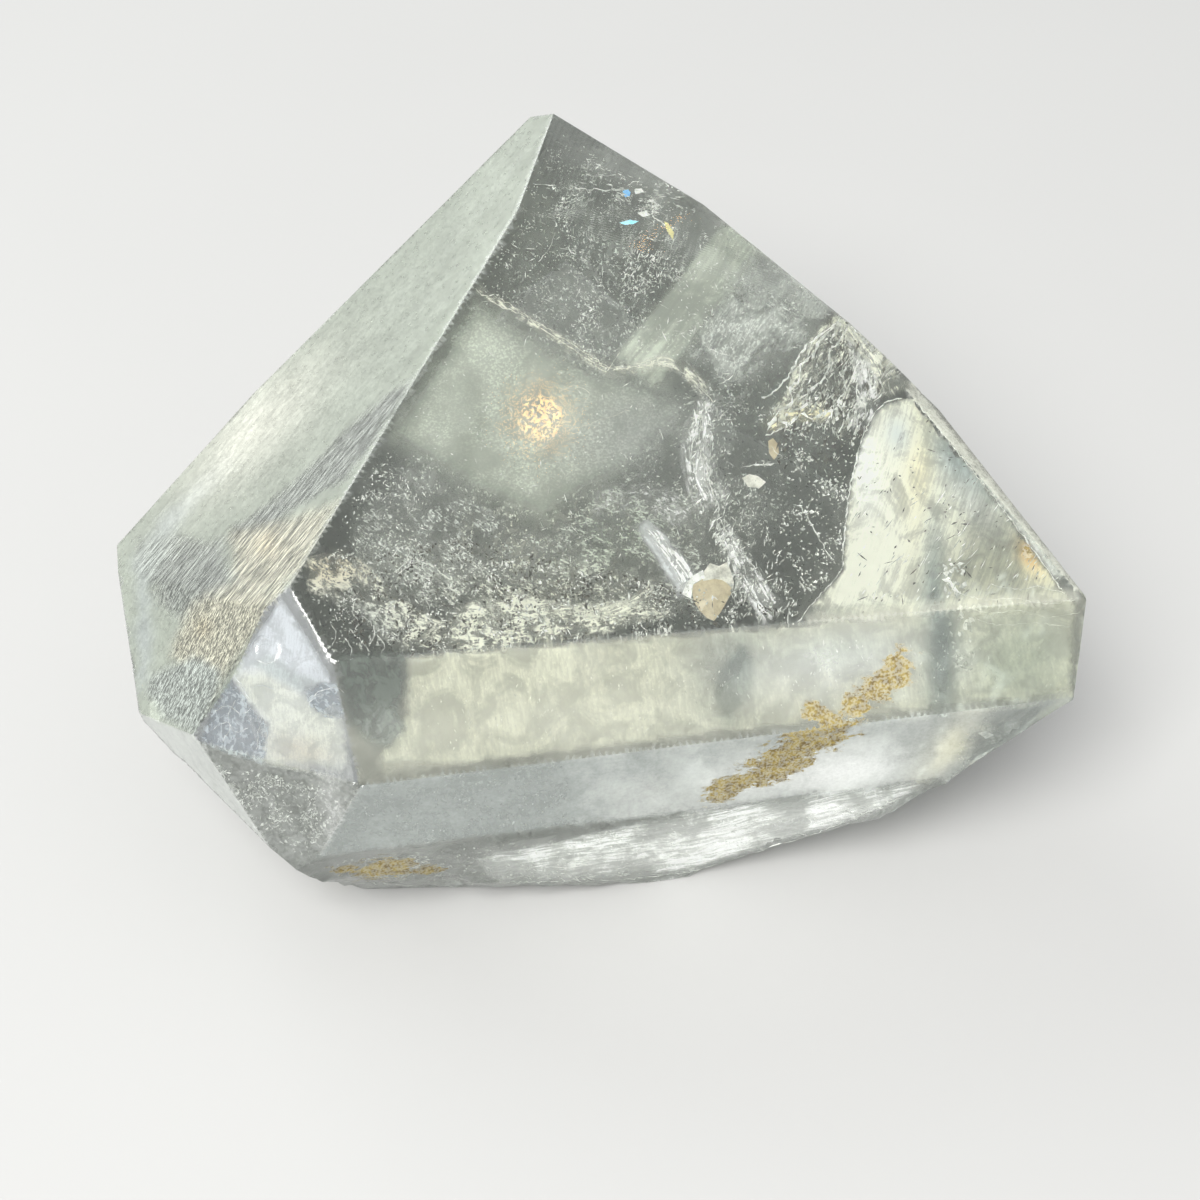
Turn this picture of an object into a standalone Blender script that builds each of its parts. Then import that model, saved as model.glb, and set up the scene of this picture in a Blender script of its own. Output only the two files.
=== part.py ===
# A loose topaz crystal, 40 mm wide: a blunt termination of flat faces on a broken, rough underside.
# Each flat is the plane at a bearing, a dip and a distance from one point inside the stone, as on a crystal drawing.
# Bearing turns from +X towards +Y, a dip of 0 faces straight up and 180 straight down.

import math

import bmesh
import bpy
from mathutils import Vector, noise

MM = 0.001
CENTRE_HEIGHT = 10.0 * MM
BLANK_HALF_SIZE = 40.0 * MM

# Grown faces: bearing in degrees, dip in degrees, distance from the centre in mm.
GROWN_FACES = {
    "roof": (-77.7, 26.2, 7.65),
    "roof_top": (-71.8, 12.5, 10.60),
    "brow": (-80.0, 51.0, 9.30),
    "wall": (-80.3, 90.1, 11.30),
    "corner": (-108.7, 76.8, 14.75),
    "corner_low": (-134.5, 95.8, 17.95),
    "kite_top": (-117.0, 43.1, 12.45),
    "kite_low": (-108.8, 56.6, 13.00),
    "left_slope": (179.8, 37.6, 11.76),
    "left_slope_low": (-163.5, 49.4, 14.11),
    "left_end": (-166.3, 104.0, 19.03),
    "back_left": (125.1, 84.0, 14.82),
    "back_left_low": (128.0, 92.0, 14.75),
    "back_right_top": (48.8, 78.0, 12.76),
    "back_right": (51.8, 80.0, 12.50),
    "back_right_low": (50.0, 91.0, 12.72),
    "back_mid": (46.1, 82.0, 12.62),
    "right": (32.3, 78.0, 14.84),
    "right_end": (-0.5, 98.0, 19.70),
}

# Broken faces of the underside, in the same terms. They take the scallops and the hackle.
BROKEN_FACES = {
    "undercut": (-80.4, 104.8, 11.72),
    "undercut_low": (-88.3, 125.0, 13.28),
    "under_left": (-141.7, 122.8, 16.56),
    "under_right": (-14.7, 151.8, 11.79),
    "under_far_right": (-1.4, 139.1, 12.75),
    "under_back": (90.0, 140.0, 11.20),
    "under_back_left": (150.0, 130.0, 15.60),
    "under_back_right": (45.0, 138.0, 12.20),
}

# Small flats where edges and points are chipped or bevelled.
CHIPS = {
    "right_bevel": (-6.6, 30.1, 13.66),
}

REST_FACE = "rest"
CELL = 0.65 * MM
MIN_CELL_EDGE = 0.08 * MM

# Relief of the broken faces: rings round the blow that parted them, ledges where the break changed level,
# hackle that runs out from the blow, and soft lumps. It rises above the flat by RELIEF_RISE and sinks below it.
RELIEF_FADE_HEIGHT = 1.6 * MM
RELIEF_RISE = 0.65 * MM
BLOW_POINT = Vector((5.0, -15.0, 1.0)) * MM
RING_SPACING = 2.1 * MM
RING_SPREAD = 0.85
RING_DEPTH = 0.16 * MM
LEDGE_COUNT = 4
LEDGE_DEPTH = 0.75 * MM
LEDGE_TREAD = 0.7
LEDGE_SIZE = 8.0 * MM
HACKLE_DEPTH = 0.22 * MM
HACKLE_LENGTH = 6.0 * MM
HACKLE_ANGLE = 0.11
LUMP_DEPTH = 0.30 * MM
LUMP_SIZE = 3.0 * MM
RIM_SHARE = 0.3


def face_normal(bearing, dip):
    b = math.radians(bearing)
    d = math.radians(dip)
    return Vector((math.sin(d) * math.cos(b), math.sin(d) * math.sin(b), math.cos(d)))


def cut_face(bm, normal, point, tag, surface):
    """Removes all that lies outside the plane and closes the cut with one flat, marked with its tag."""
    cut = bmesh.ops.bisect_plane(
        bm,
        geom=bm.verts[:] + bm.edges[:] + bm.faces[:],
        dist=0.0005 * MM,
        plane_co=point,
        plane_no=normal,
        clear_outer=True,
    )
    rim = [e for e in cut["geom_cut"] if isinstance(e, bmesh.types.BMEdge) and e.is_boundary]
    if len(rim) < 3:
        return
    for face in bmesh.ops.contextual_create(bm, geom=rim)["faces"]:
        face[surface] = tag


def grid_face(bm, tag, normal, surface):
    """Divides one broken flat into cells about CELL across, along its strike and down its slope."""
    strike = Vector((0.0, 0.0, 1.0)).cross(normal).normalized()
    slope = normal.cross(strike)
    for direction in (strike, slope):
        reach = [v.co.dot(direction) for f in bm.faces if f[surface] == tag for v in f.verts]
        if not reach:
            return
        count = int((max(reach) - min(reach)) / CELL)
        for i in range(1, count + 1):
            offset = min(reach) + (max(reach) - min(reach)) * i / (count + 1)
            faces = [f for f in bm.faces if f[surface] == tag]
            edges = list({e for f in faces for e in f.edges})
            verts = list({v for f in faces for v in f.verts})
            bmesh.ops.bisect_plane(
                bm, geom=verts + edges + faces, dist=MIN_CELL_EDGE, plane_co=direction * offset, plane_no=direction
            )


def share(wave):
    """Turns a wave between -1 and 1 into a share between 0 and 1."""
    return 0.5 + 0.5 * wave


def clamp(value):
    return min(1.0, max(0.0, value))


def fracture_depth(p):
    """How far a point of the broken skin is sunk below its flat, or raised above it where negative."""
    away = p - BLOW_POINT
    reach = away.length
    ring = share(math.sin(2.0 * math.pi * (reach / RING_SPACING) ** RING_SPREAD))
    level = LEDGE_COUNT * share(noise.noise(p / LEDGE_SIZE))
    riser = clamp((level % 1.0 - LEDGE_TREAD) / (1.0 - LEDGE_TREAD))
    ledge = (math.floor(level) + riser) / LEDGE_COUNT
    heading = away.normalized() / HACKLE_ANGLE
    hackle = share(noise.noise(heading + Vector((reach / HACKLE_LENGTH, 0.0, 0.0))))
    lump = share(noise.noise(p / LUMP_SIZE))
    fade = clamp(p.z / RELIEF_FADE_HEIGHT)
    depth = RING_DEPTH * ring + LEDGE_DEPTH * ledge + HACKLE_DEPTH * hackle + LUMP_DEPTH * lump
    return fade * (depth - RELIEF_RISE)


def roughen(bm, surface, broken_tags, normals):
    """Sinks the broken skin towards the centre. A point on its rim slides inside the grown faces it touches."""
    centre = Vector((0.0, 0.0, CENTRE_HEIGHT))
    moves = {}
    for v in bm.verts:
        tags = {f[surface] for f in v.link_faces}
        if not tags & broken_tags:
            continue
        move = (centre - v.co).normalized() * fracture_depth(v.co)
        grown = [normals[t] for t in tags - broken_tags]
        if len(grown) > 2:
            continue
        if len(grown) == 2:
            edge = grown[0].cross(grown[1]).normalized()
            move = edge * move.dot(edge)
        elif grown:
            move = move - grown[0] * move.dot(grown[0])
        moves[v] = move * RIM_SHARE if grown else move
    for v, move in moves.items():
        v.co += move


def crystal_mesh():
    bm = bmesh.new()
    surface = bm.faces.layers.int.new("surface")
    bmesh.ops.create_cube(bm, size=2.0 * BLANK_HALF_SIZE)
    centre = Vector((0.0, 0.0, CENTRE_HEIGHT))
    normals = {}
    broken_tags = set()
    planes = {REST_FACE: (0.0, 180.0, CENTRE_HEIGHT / MM), **GROWN_FACES, **CHIPS, **BROKEN_FACES}
    for tag, (name, (bearing, dip, distance)) in enumerate(planes.items(), start=1):
        normals[tag] = face_normal(bearing, dip)
        cut_face(bm, normals[tag], centre + normals[tag] * distance * MM, tag, surface)
        if name in BROKEN_FACES:
            broken_tags.add(tag)
    for tag in broken_tags:
        grid_face(bm, tag, normals[tag], surface)
    roughen(bm, surface, broken_tags, normals)
    bmesh.ops.triangulate(bm, faces=bm.faces[:])
    bmesh.ops.recalc_face_normals(bm, faces=bm.faces[:])
    seat_on_origin(bm)
    mesh = bpy.data.meshes.new("topaz_crystal")
    bm.to_mesh(mesh)
    bm.free()
    return mesh


def seat_on_origin(bm):
    """Puts the middle of the stone's plan over the origin, with its rest face at z = 0."""
    xs = [v.co.x for v in bm.verts]
    ys = [v.co.y for v in bm.verts]
    shift = Vector((-(min(xs) + max(xs)) / 2.0, -(min(ys) + max(ys)) / 2.0, 0.0))
    for v in bm.verts:
        v.co += shift
    print("plan shift in mm:", round(shift.x / MM, 3), round(shift.y / MM, 3))


def topaz_material():
    material = bpy.data.materials.new("topaz")
    material.use_nodes = True
    shader = material.node_tree.nodes["Principled BSDF"]
    shader.inputs["Base Color"].default_value = (0.86, 0.90, 0.82, 1.0)
    shader.inputs["Roughness"].default_value = 0.05
    shader.inputs["Metallic"].default_value = 0.0
    shader.inputs["IOR"].default_value = 1.62
    shader.inputs["Transmission Weight"].default_value = 1.0
    return material


def main():
    for old in list(bpy.data.objects):
        bpy.data.objects.remove(old, do_unlink=True)
    mesh = crystal_mesh()
    mesh.materials.append(topaz_material())
    crystal = bpy.data.objects.new("topaz_crystal", mesh)
    bpy.context.scene.collection.objects.link(crystal)
    size = [round(s / MM, 2) for s in crystal.dimensions]
    print("size in mm:", size, "triangles:", len(mesh.polygons))


main()
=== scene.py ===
import math

import bmesh
import bpy
import numpy as np
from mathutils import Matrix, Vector, geometry, noise
from mathutils.bvhtree import BVHTree


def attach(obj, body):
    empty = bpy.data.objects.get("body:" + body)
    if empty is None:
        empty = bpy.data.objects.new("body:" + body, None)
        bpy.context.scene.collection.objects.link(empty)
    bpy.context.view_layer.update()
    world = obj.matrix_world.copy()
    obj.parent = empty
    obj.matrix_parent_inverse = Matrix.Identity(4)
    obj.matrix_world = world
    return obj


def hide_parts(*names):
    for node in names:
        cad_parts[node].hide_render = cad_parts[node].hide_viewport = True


# A loose clear topaz crystal on a pale table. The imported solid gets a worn, streaked and stained skin,
# and cracks, veils, haze and specks inside it. Lengths are in mm unless a name says otherwise.

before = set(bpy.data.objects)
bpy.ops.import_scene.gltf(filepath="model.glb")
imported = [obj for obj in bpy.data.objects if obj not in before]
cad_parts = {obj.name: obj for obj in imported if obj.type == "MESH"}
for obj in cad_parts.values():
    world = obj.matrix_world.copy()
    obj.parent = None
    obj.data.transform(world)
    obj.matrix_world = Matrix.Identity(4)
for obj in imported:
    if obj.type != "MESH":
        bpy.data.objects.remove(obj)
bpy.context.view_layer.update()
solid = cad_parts["topaz_crystal"]
mm = 0.001
print("frame loaded:", len(solid.data.polygons), "triangles")

# The camera comes first, because many places on the stone are named by the spot where they show in its view.
cameraSetup = {
    "place": (0.913, -71.161, 77.335),
    "tiltDegrees": 45.0,
    "viewDegrees": 30.0,
    "viewPixels": 1200,
    "sensorWidth": 36.0,
    "near": 2.0,
    "far": 20000.0,
}


def makeCamera(setup):
    data = bpy.data.cameras.new("camera")
    data.sensor_width = setup["sensorWidth"]
    data.angle = math.radians(setup["viewDegrees"])
    data.clip_start = setup["near"] * mm
    data.clip_end = setup["far"] * mm
    camera = bpy.data.objects.new("camera", data)
    camera.location = Vector(setup["place"]) * mm
    camera.rotation_euler = (math.radians(setup["tiltDegrees"]), 0.0, 0.0)
    bpy.context.scene.collection.objects.link(camera)
    bpy.context.scene.camera = camera
    bpy.context.view_layer.update()
    return camera


camera = makeCamera(cameraSetup)
eye = camera.location.copy()
eyeTurn = camera.rotation_euler.to_matrix()
halfView = cameraSetup["viewPixels"] / 2
focalPixels = halfView / math.tan(math.radians(cameraSetup["viewDegrees"]) / 2)
pixelsPerMm = 22.0      # at the stone
topazIor = 1.62
burial = {"least": 0.1, "toFarSide": 0.25, "rayStart": 0.02}
huge = 1e9

stoneTree = BVHTree.FromPolygons([v.co for v in solid.data.vertices], [tuple(p.vertices) for p in solid.data.polygons])


def sightLine(spot):
    return (eyeTurn @ Vector((spot[0] - halfView, halfView - spot[1], -focalPixels))).normalized()


def onSkin(spot):
    # where the line of sight meets the stone, and which way the skin faces there
    return stoneTree.ray_cast(eye, sightLine(spot))[:2]


def inside(spot, depth):
    # a point this deep under the skin, on the bent ray, so that it still shows at the spot
    point, normal = onSkin(spot)
    sight = sightLine(spot)
    cosIn = -sight.dot(normal)
    ratio = 1.0 / topazIor
    bent = sight * ratio + normal * (ratio * cosIn - math.sqrt(1.0 - ratio * ratio * (1.0 - cosIn * cosIn)))
    way = bent.normalized()
    far = stoneTree.ray_cast(point + way * burial["rayStart"] * mm, way)[3]
    room = (far if far is not None else depth * mm) - burial["toFarSide"] * mm
    return point + way * max(burial["least"] * mm, min(depth * mm, room))


def spotOf(point):
    # where a point of the skin shows in the view
    p = eyeTurn.transposed() @ (point - eye)
    return halfView - focalPixels * p.x / p.z, halfView + focalPixels * p.y / p.z


def inOutline(x, y, outline):
    hit = False
    for (x0, y0), (x1, y1) in zip(outline, outline[1:] + outline[:1]):
        if (y0 > y) != (y1 > y) and x < (x1 - x0) * (y - y0) / (y1 - y0) + x0:
            hit = not hit
    return hit


def toOutline(x, y, outline):
    # distance from a spot to a closed line of spots
    best = huge
    for (x0, y0), (x1, y1) in zip(outline, outline[1:] + outline[:1]):
        dx, dy = x1 - x0, y1 - y0
        t = max(0.0, min(1.0, ((x - x0) * dx + (y - y0) * dy) / (dx * dx + dy * dy + 1 / huge)))
        best = min(best, math.hypot(x - x0 - t * dx, y - y0 - t * dy))
    return best


def smooth(low, high, value):
    t = max(0.0, min(1.0, (value - low) / (high - low)))
    return t * t * (3.0 - 2.0 * t)


def mixed(first, second, share):
    return tuple(f + (t - f) * share for f, t in zip(first, second))


# The skin: its net of triangles, the wear of its edges, and how its faces are told apart.
skin = {
    "cell": 0.27,
    "rimRow": 0.028,          # a row of points stands this far inside each rim
    "rimGap": 0.35,           # and the net this share of a cell further in
    "shortEdge": 0.12,
    "pointGap": 0.15,
    "sliver": 0.0015,
    "bigFaceArea": 3.0,
    "flatWithin": 0.02,
    "creaseAngle": 0.10,
    "edgeWear": 0.010,
    "wearSize": 1.1,
    "chipDepth": 0.32,
    "chipSize": 1.5,
    "chipFrom": 0.45,
    # creases get more milk: worn frost, and partly a painted highlight line along them
    "edgeFrostHighlight": 0.05,
    "frontBreak": -2.0,       # broken faces in front of this get the finish of the undercut
    "smoothDegrees": 16.0,
}

# Every grown face is found by a spot on it, and gets its own finish: milk is the share of milky white,
# grain the roughness, lines the depth of the fine striations.
faceFinish = {
    "roof": {"spots": [(620, 300), (610, 185), (1050, 560)], "milk": 0.02, "grain": 0.012, "tint": "grey"},
    "bevel": {"spots": [(967, 455)], "milk": 0.04, "grain": 0.03, "mottle": 0.4, "tint": "cream"},
    "leftSlope": {"spots": [(400, 330), (180, 600)], "milk": 0.42, "grain": 0.30, "lines": 0.12, "mottle": 0.26,
                  "tint": "green"},
    "kite": {"spots": [(285, 640), (285, 740)], "milk": 0.20, "grain": 0.12, "mottle": 0.2, "tint": "lavender"},
    "brow": {"spots": [(650, 700)], "milk": 0.16, "grain": 0.12, "lines": 0.04, "mottle": 0.12, "tint": "cream"},
    "wall": {"spots": [(600, 800)], "milk": 0.34, "grain": 0.10, "mottle": 0.15, "tint": "wallGrey"},
    "corner": {"spots": [(290, 800)], "milk": 0.18, "grain": 0.08, "mottle": 0.4, "tint": "grey"},
    "cornerFoot": {"spots": [(210, 780)], "milk": 0.50, "grain": 0.14, "mottle": 0.1, "tint": "grey"},
    "unseen": {"milk": 0.12, "grain": 0.08, "lines": 0.12, "mottle": 0.4, "tint": "grey"},
    # the rest and broken faces are frosted, and their dark stone tint is painted shade that darkens what shows through
    # the clear stone
    "rest": {"milk": 0.50, "grain": 0.30, "mottle": 0.6, "tint": "stone"},
    "broken": {"milk": 0.55, "grain": 0.30, "mottle": 0.6, "tint": "stone"},
    "undercut": {"milk": 0.12, "grain": 0.14, "mottle": 0.5, "tint": "grey"},
}
tints = {
    "grey": (0.74, 0.77, 0.74),
    "haze": (0.52, 0.57, 0.55),
    "wallGrey": (0.63, 0.68, 0.66),
    "green": (0.51, 0.56, 0.48),
    "mist": (0.38, 0.41, 0.39),
    "band": (0.68, 0.73, 0.64),
    "cream": (0.81, 0.82, 0.72),
    "yellow": (0.86, 0.82, 0.60),
    "sand": (0.64, 0.59, 0.45),
    "lavender": (0.70, 0.725, 0.75),
    "pearl": (0.79, 0.80, 0.68),
    "blue": (0.42, 0.50, 0.51),
    "white": (0.90, 0.92, 0.90),
    "deep": (0.15, 0.21, 0.24),
    # painted shade: the dark tone of the browShade sheet
    "paintedShadeTone": (0.12, 0.145, 0.125),
    # stone: a dark grey, in part painted shade on the rest and broken faces
    "stone": (0.34, 0.36, 0.33),
    "dusk": (0.42, 0.43, 0.33),
    "fawn": (0.53, 0.52, 0.43),
    "orange": (0.80, 0.55, 0.22),
}

finishNames = list(faceFinish)


def openSolid(node):
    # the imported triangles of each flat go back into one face, so that the flat can be meshed anew
    bm = bmesh.new()
    bm.from_mesh(node.data)
    bmesh.ops.remove_doubles(bm, verts=bm.verts[:], dist=0.001 * mm)
    bmesh.ops.dissolve_limit(bm, angle_limit=math.radians(0.3), verts=bm.verts[:], edges=bm.edges[:])
    return bm


def nameFaces(bm, layer):
    for f in bm.faces:
        f[layer] = finishNames.index("broken")
    grown = [f for f in bm.faces if f.calc_area() > skin["bigFaceArea"] * mm * mm]
    for f in grown:
        f[layer] = finishNames.index("rest" if f.normal.z < -0.99 else "unseen")
    for name, finish in faceFinish.items():
        for spot in finish.get("spots", []):
            point, normal = onSkin(spot)
            for f in grown:
                flat = abs((f.calc_center_median() - point).dot(normal)) < skin["flatWithin"] * mm
                if flat and f.normal.dot(normal) > 0.9999:
                    f[layer] = finishNames.index(name)


def splitLongEdges(bm, edges, cell):
    byCuts = {}
    for e in edges:
        cuts = int(e.calc_length() / cell)
        if cuts > 0:
            byCuts.setdefault(cuts, []).append(e)
    for cuts, group in byCuts.items():
        bmesh.ops.subdivide_edges(bm, edges=group, cuts=cuts)


def insideMask(points, ring):
    x, y = points[:, 0:1], points[:, 1:2]
    x0, y0 = ring[:, 0], ring[:, 1]
    x1, y1 = np.roll(x0, -1), np.roll(y0, -1)
    crosses = (y0 > y) != (y1 > y)
    with np.errstate(divide="ignore", invalid="ignore"):
        side = x < (x1 - x0) * (y - y0) / (y1 - y0) + x0
    return (np.sum(crosses & side, axis=1) % 2) == 1


def ringDistance(points, ring):
    best = np.full(len(points), huge)
    for start, run in zip(ring, np.roll(ring, -1, axis=0) - ring):
        d = points - start
        t = np.clip((d @ run) / max(run @ run, 1e-12), 0.0, 1.0)
        best = np.minimum(best, np.hypot(*(d - np.outer(t, run)).T))
    return best


def netPoints(ring, cell):
    # rows of points over a flat, each row half a cell aside from the last
    low, high = ring.min(axis=0), ring.max(axis=0)
    rise = cell * math.sqrt(3) / 2
    points = []
    for j in range(int((high[1] - low[1]) / rise) + 2):
        shift = 0.5 * cell * (j % 2)
        for i in range(int((high[0] - low[0]) / cell) + 2):
            points.append((low[0] + shift + i * cell, low[1] + j * rise))
    net = np.array(points)
    net = net[insideMask(net, ring)]
    return net[ringDistance(net, ring) > skin["rimRow"] + skin["rimGap"] * cell]


def rimPoints(ring):
    # a row of points just inside the rim
    along = np.roll(ring, -1, axis=0) - ring
    length = np.hypot(*along.T)
    inward = np.stack([-along[:, 1], along[:, 0]], axis=1) / length[:, None]
    points = (ring + along / 2 + inward * skin["rimRow"])[length > skin["shortEdge"]]
    points = points[insideMask(points, ring)]
    if len(points):
        points = points[ringDistance(points, ring) > 0.8 * skin["rimRow"]]
    return points


def meshFlat(bm, face, layer, cell, extraPoints):
    # one flat becomes a net of small triangles
    normal = face.normal.copy()
    axisU = normal.orthogonal().normalized()
    axisV = normal.cross(axisU)
    loop = [l.vert for l in face.loops]
    origin = loop[0].co.copy()
    ring = np.array([((v.co - origin).dot(axisU), (v.co - origin).dot(axisV)) for v in loop]) / mm
    net, guard = netPoints(ring, cell), rimPoints(ring)
    extra = [((p - origin).dot(axisU) / mm, (p - origin).dot(axisV) / mm) for p in extraPoints]
    extra = np.array(extra).reshape(-1, 2)
    if len(extra):
        extra = extra[insideMask(extra, ring)]
    if len(extra) and len(net):
        net = net[np.array([np.min(np.hypot(*(extra - p).T)) > skin["pointGap"] for p in net])]
    points = np.concatenate([ring, net.reshape(-1, 2), guard.reshape(-1, 2), extra])
    count = len(ring)
    result = geometry.delaunay_2d_cdt([Vector(p) for p in points.tolist()], [], [list(range(count))], 1, 1e-6, True)
    places, _, triangles, sources = result[:4]
    verts, rim = [], []
    for place, source in zip(places, sources):
        own = [s for s in source if s < count]
        rim.append(bool(own))
        verts.append(loop[own[0]] if own else bm.verts.new(origin + (axisU * place.x + axisV * place.y) * mm))
    kind = face[layer]
    bmesh.ops.delete(bm, geom=[face], context="FACES_ONLY")
    # slivers between the rim and its hull are left out
    centres = np.array([[sum(places[i][k] for i in t) / 3 for k in (0, 1)] for t in triangles])
    for triangle, inRing in zip(triangles, insideMask(centres, ring)):
        a, b, c = (places[i] for i in triangle)
        longest = max((a - b).length, (b - c).length, (c - a).length)
        thin = abs((b - a).cross(c - a)) < skin["sliver"] * longest
        if all(rim[i] for i in triangle) and (thin or not inRing):
            continue
        bm.faces.new([verts[i] for i in triangle])[layer] = kind


# A small round growth hillock on the kite: it stands up in a ring.
hillock = {"spot": (265, 650), "radius": 0.50, "height": 0.035, "ringWidth": 0.32, "netReach": 1.5, "rings": 8}


def hillockPoints():
    # extra mesh points for it
    centre, normal = onSkin(hillock["spot"])
    u = normal.orthogonal().normalized()
    v = normal.cross(u)
    points = []
    for ring in range(1, hillock["rings"] + 1):
        radius = hillock["radius"] * hillock["netReach"] * ring / hillock["rings"]
        count = 6 + 4 * ring
        for i in range(count):
            turn = 2.0 * math.pi * i / count
            points.append(centre + (u * math.cos(turn) + v * math.sin(turn)) * radius * mm)
    return points


def hillockHeight(point):
    reach = (point - onSkin(hillock["spot"])[0]).length / mm / hillock["radius"]
    return hillock["height"] * math.exp(-((reach - 1.0) / hillock["ringWidth"]) ** 2) * (1.0 if reach < 2.2 else 0.0)


# Relief inside each face: a broad swell and a finer grain, with their heights, and their waves per mm.
# On the left slope the swell runs with the streaks.
relief = {
    "leftSlope": {"swell": 0.024, "waves": (0.12, 1.1, 0.3), "grain": 0.010, "grainWaves": 1.6},
    "brow": {"swell": 0.020, "waves": (0.9, 0.9, 2.2), "grain": 0.008, "grainWaves": 2.5},
    "unseen": {"swell": 0.022, "waves": (0.5, 0.5, 1.9), "grain": 0.006, "grainWaves": 2.0},
    "corner": {"grain": 0.020, "grainWaves": 1.1},
    "cornerFoot": {"grain": 0.020, "grainWaves": 1.1},
    "kite": {"grain": 0.010, "grainWaves": 0.9},
    "roof": {"grain": 0.0004, "grainWaves": 0.6},
}
breakRelief = {"height": 0.07, "waves": 1.1, "roughness": 0.6, "steps": 2.1, "octaves": 4}
roofPits = {"depth": 0.05, "from": 0.62, "waves": 1.7, "shift": (7, 3, 1)}
restHollows = {"depth": 0.9, "low": -0.05, "high": 0.75, "waves": 0.33, "shift": (4, 9, 2), "roughness": 0.7,
               "steps": 2.1, "octaves": 4, "grain": 0.05, "grainWaves": 1.3}
streakRun = (onSkin((430, 300))[0] - onSkin((250, 520))[0]).normalized()
streakSide = Vector((0, 0, 1)).cross(streakRun).normalized()


def fractal(p, plan):
    return noise.fractal(p, plan["roughness"], plan["steps"], plan["octaves"])


def reliefOf(point, name):
    # how far a point inside a face stands above or below its flat, in mm
    p = point / mm
    if name == "broken":
        return breakRelief["height"] * fractal(p * breakRelief["waves"], breakRelief)
    if name not in relief:
        return 0.0
    plan = relief[name]
    height = plan["grain"] * noise.noise(p * plan["grainWaves"])
    if "swell" in plan:
        place = (p.dot(streakRun), p.dot(streakSide), p.z) if name == "leftSlope" else tuple(p)
        height = plan["swell"] * noise.noise(Vector([c * w for c, w in zip(place, plan["waves"])])) + height
    if name == "kite":
        height = hillockHeight(point) + height
    if name == "roof":
        pit = noise.noise(p * roofPits["waves"] + Vector(roofPits["shift"])) - roofPits["from"]
        height -= max(0.0, pit) * roofPits["depth"]
    return height


def restDepth(point):
    # the rest face is a break too: hollows between the places that touch the table
    p, plan = point / mm, restHollows
    hollow = smooth(plan["low"], plan["high"], fractal(p * plan["waves"] + Vector(plan["shift"]), plan))
    return plan["depth"] * hollow + plan["grain"] * max(0.0, noise.noise(p * plan["grainWaves"]))


def wornMove(v, layer):
    # how far a point of the skin moves: breaks and hollows are rough, creases are worn and chipped
    kinds = {finishNames[f[layer]] for f in v.link_faces}
    if kinds == {"rest"}:
        return Vector((0, 0, restDepth(v.co) * mm))
    if "rest" in kinds:
        return Vector()
    creased = any(len(e.link_faces) == 2 and e.calc_face_angle(0.0) > skin["creaseAngle"] for e in v.link_edges)
    if creased and kinds != {"broken"}:
        chip = max(0.0, noise.noise(v.co / (skin["chipSize"] * mm)) - skin["chipFrom"]) * skin["chipDepth"]
        wear = skin["edgeWear"] * (0.9 + 0.3 * noise.noise(v.co / (skin["wearSize"] * mm)))
        return v.normal * -(wear + chip) * mm
    if len(kinds) == 1:
        return v.normal * reliefOf(v.co, kinds.pop()) * mm
    return Vector()


def buildSkin(node):
    bm = openSolid(node)
    layer = bm.faces.layers.int.new("finish")
    nameFaces(bm, layer)
    broken, kite = finishNames.index("broken"), finishNames.index("kite")
    cell = skin["cell"] * mm
    brokenEdges = [e for e in bm.edges if any(f[layer] == broken for f in e.link_faces)]
    brokenEdges = [e for e in brokenEdges if e.calc_length() > 0.9 * cell]
    bmesh.ops.subdivide_edges(bm, edges=brokenEdges, cuts=1, use_grid_fill=True)
    splitLongEdges(bm, [e for e in bm.edges if all(f[layer] != broken for f in e.link_faces)], cell)
    extra = hillockPoints()
    for face in [f for f in bm.faces if f[layer] != broken]:
        meshFlat(bm, face, layer, skin["cell"], extra if face[layer] == kite else [])
    bmesh.ops.triangulate(bm, faces=bm.faces[:])
    bm.normal_update()
    moves = [wornMove(v, layer) for v in bm.verts]
    for v, move in zip(bm.verts, moves):
        v.co += move
    return bm, layer


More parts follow.
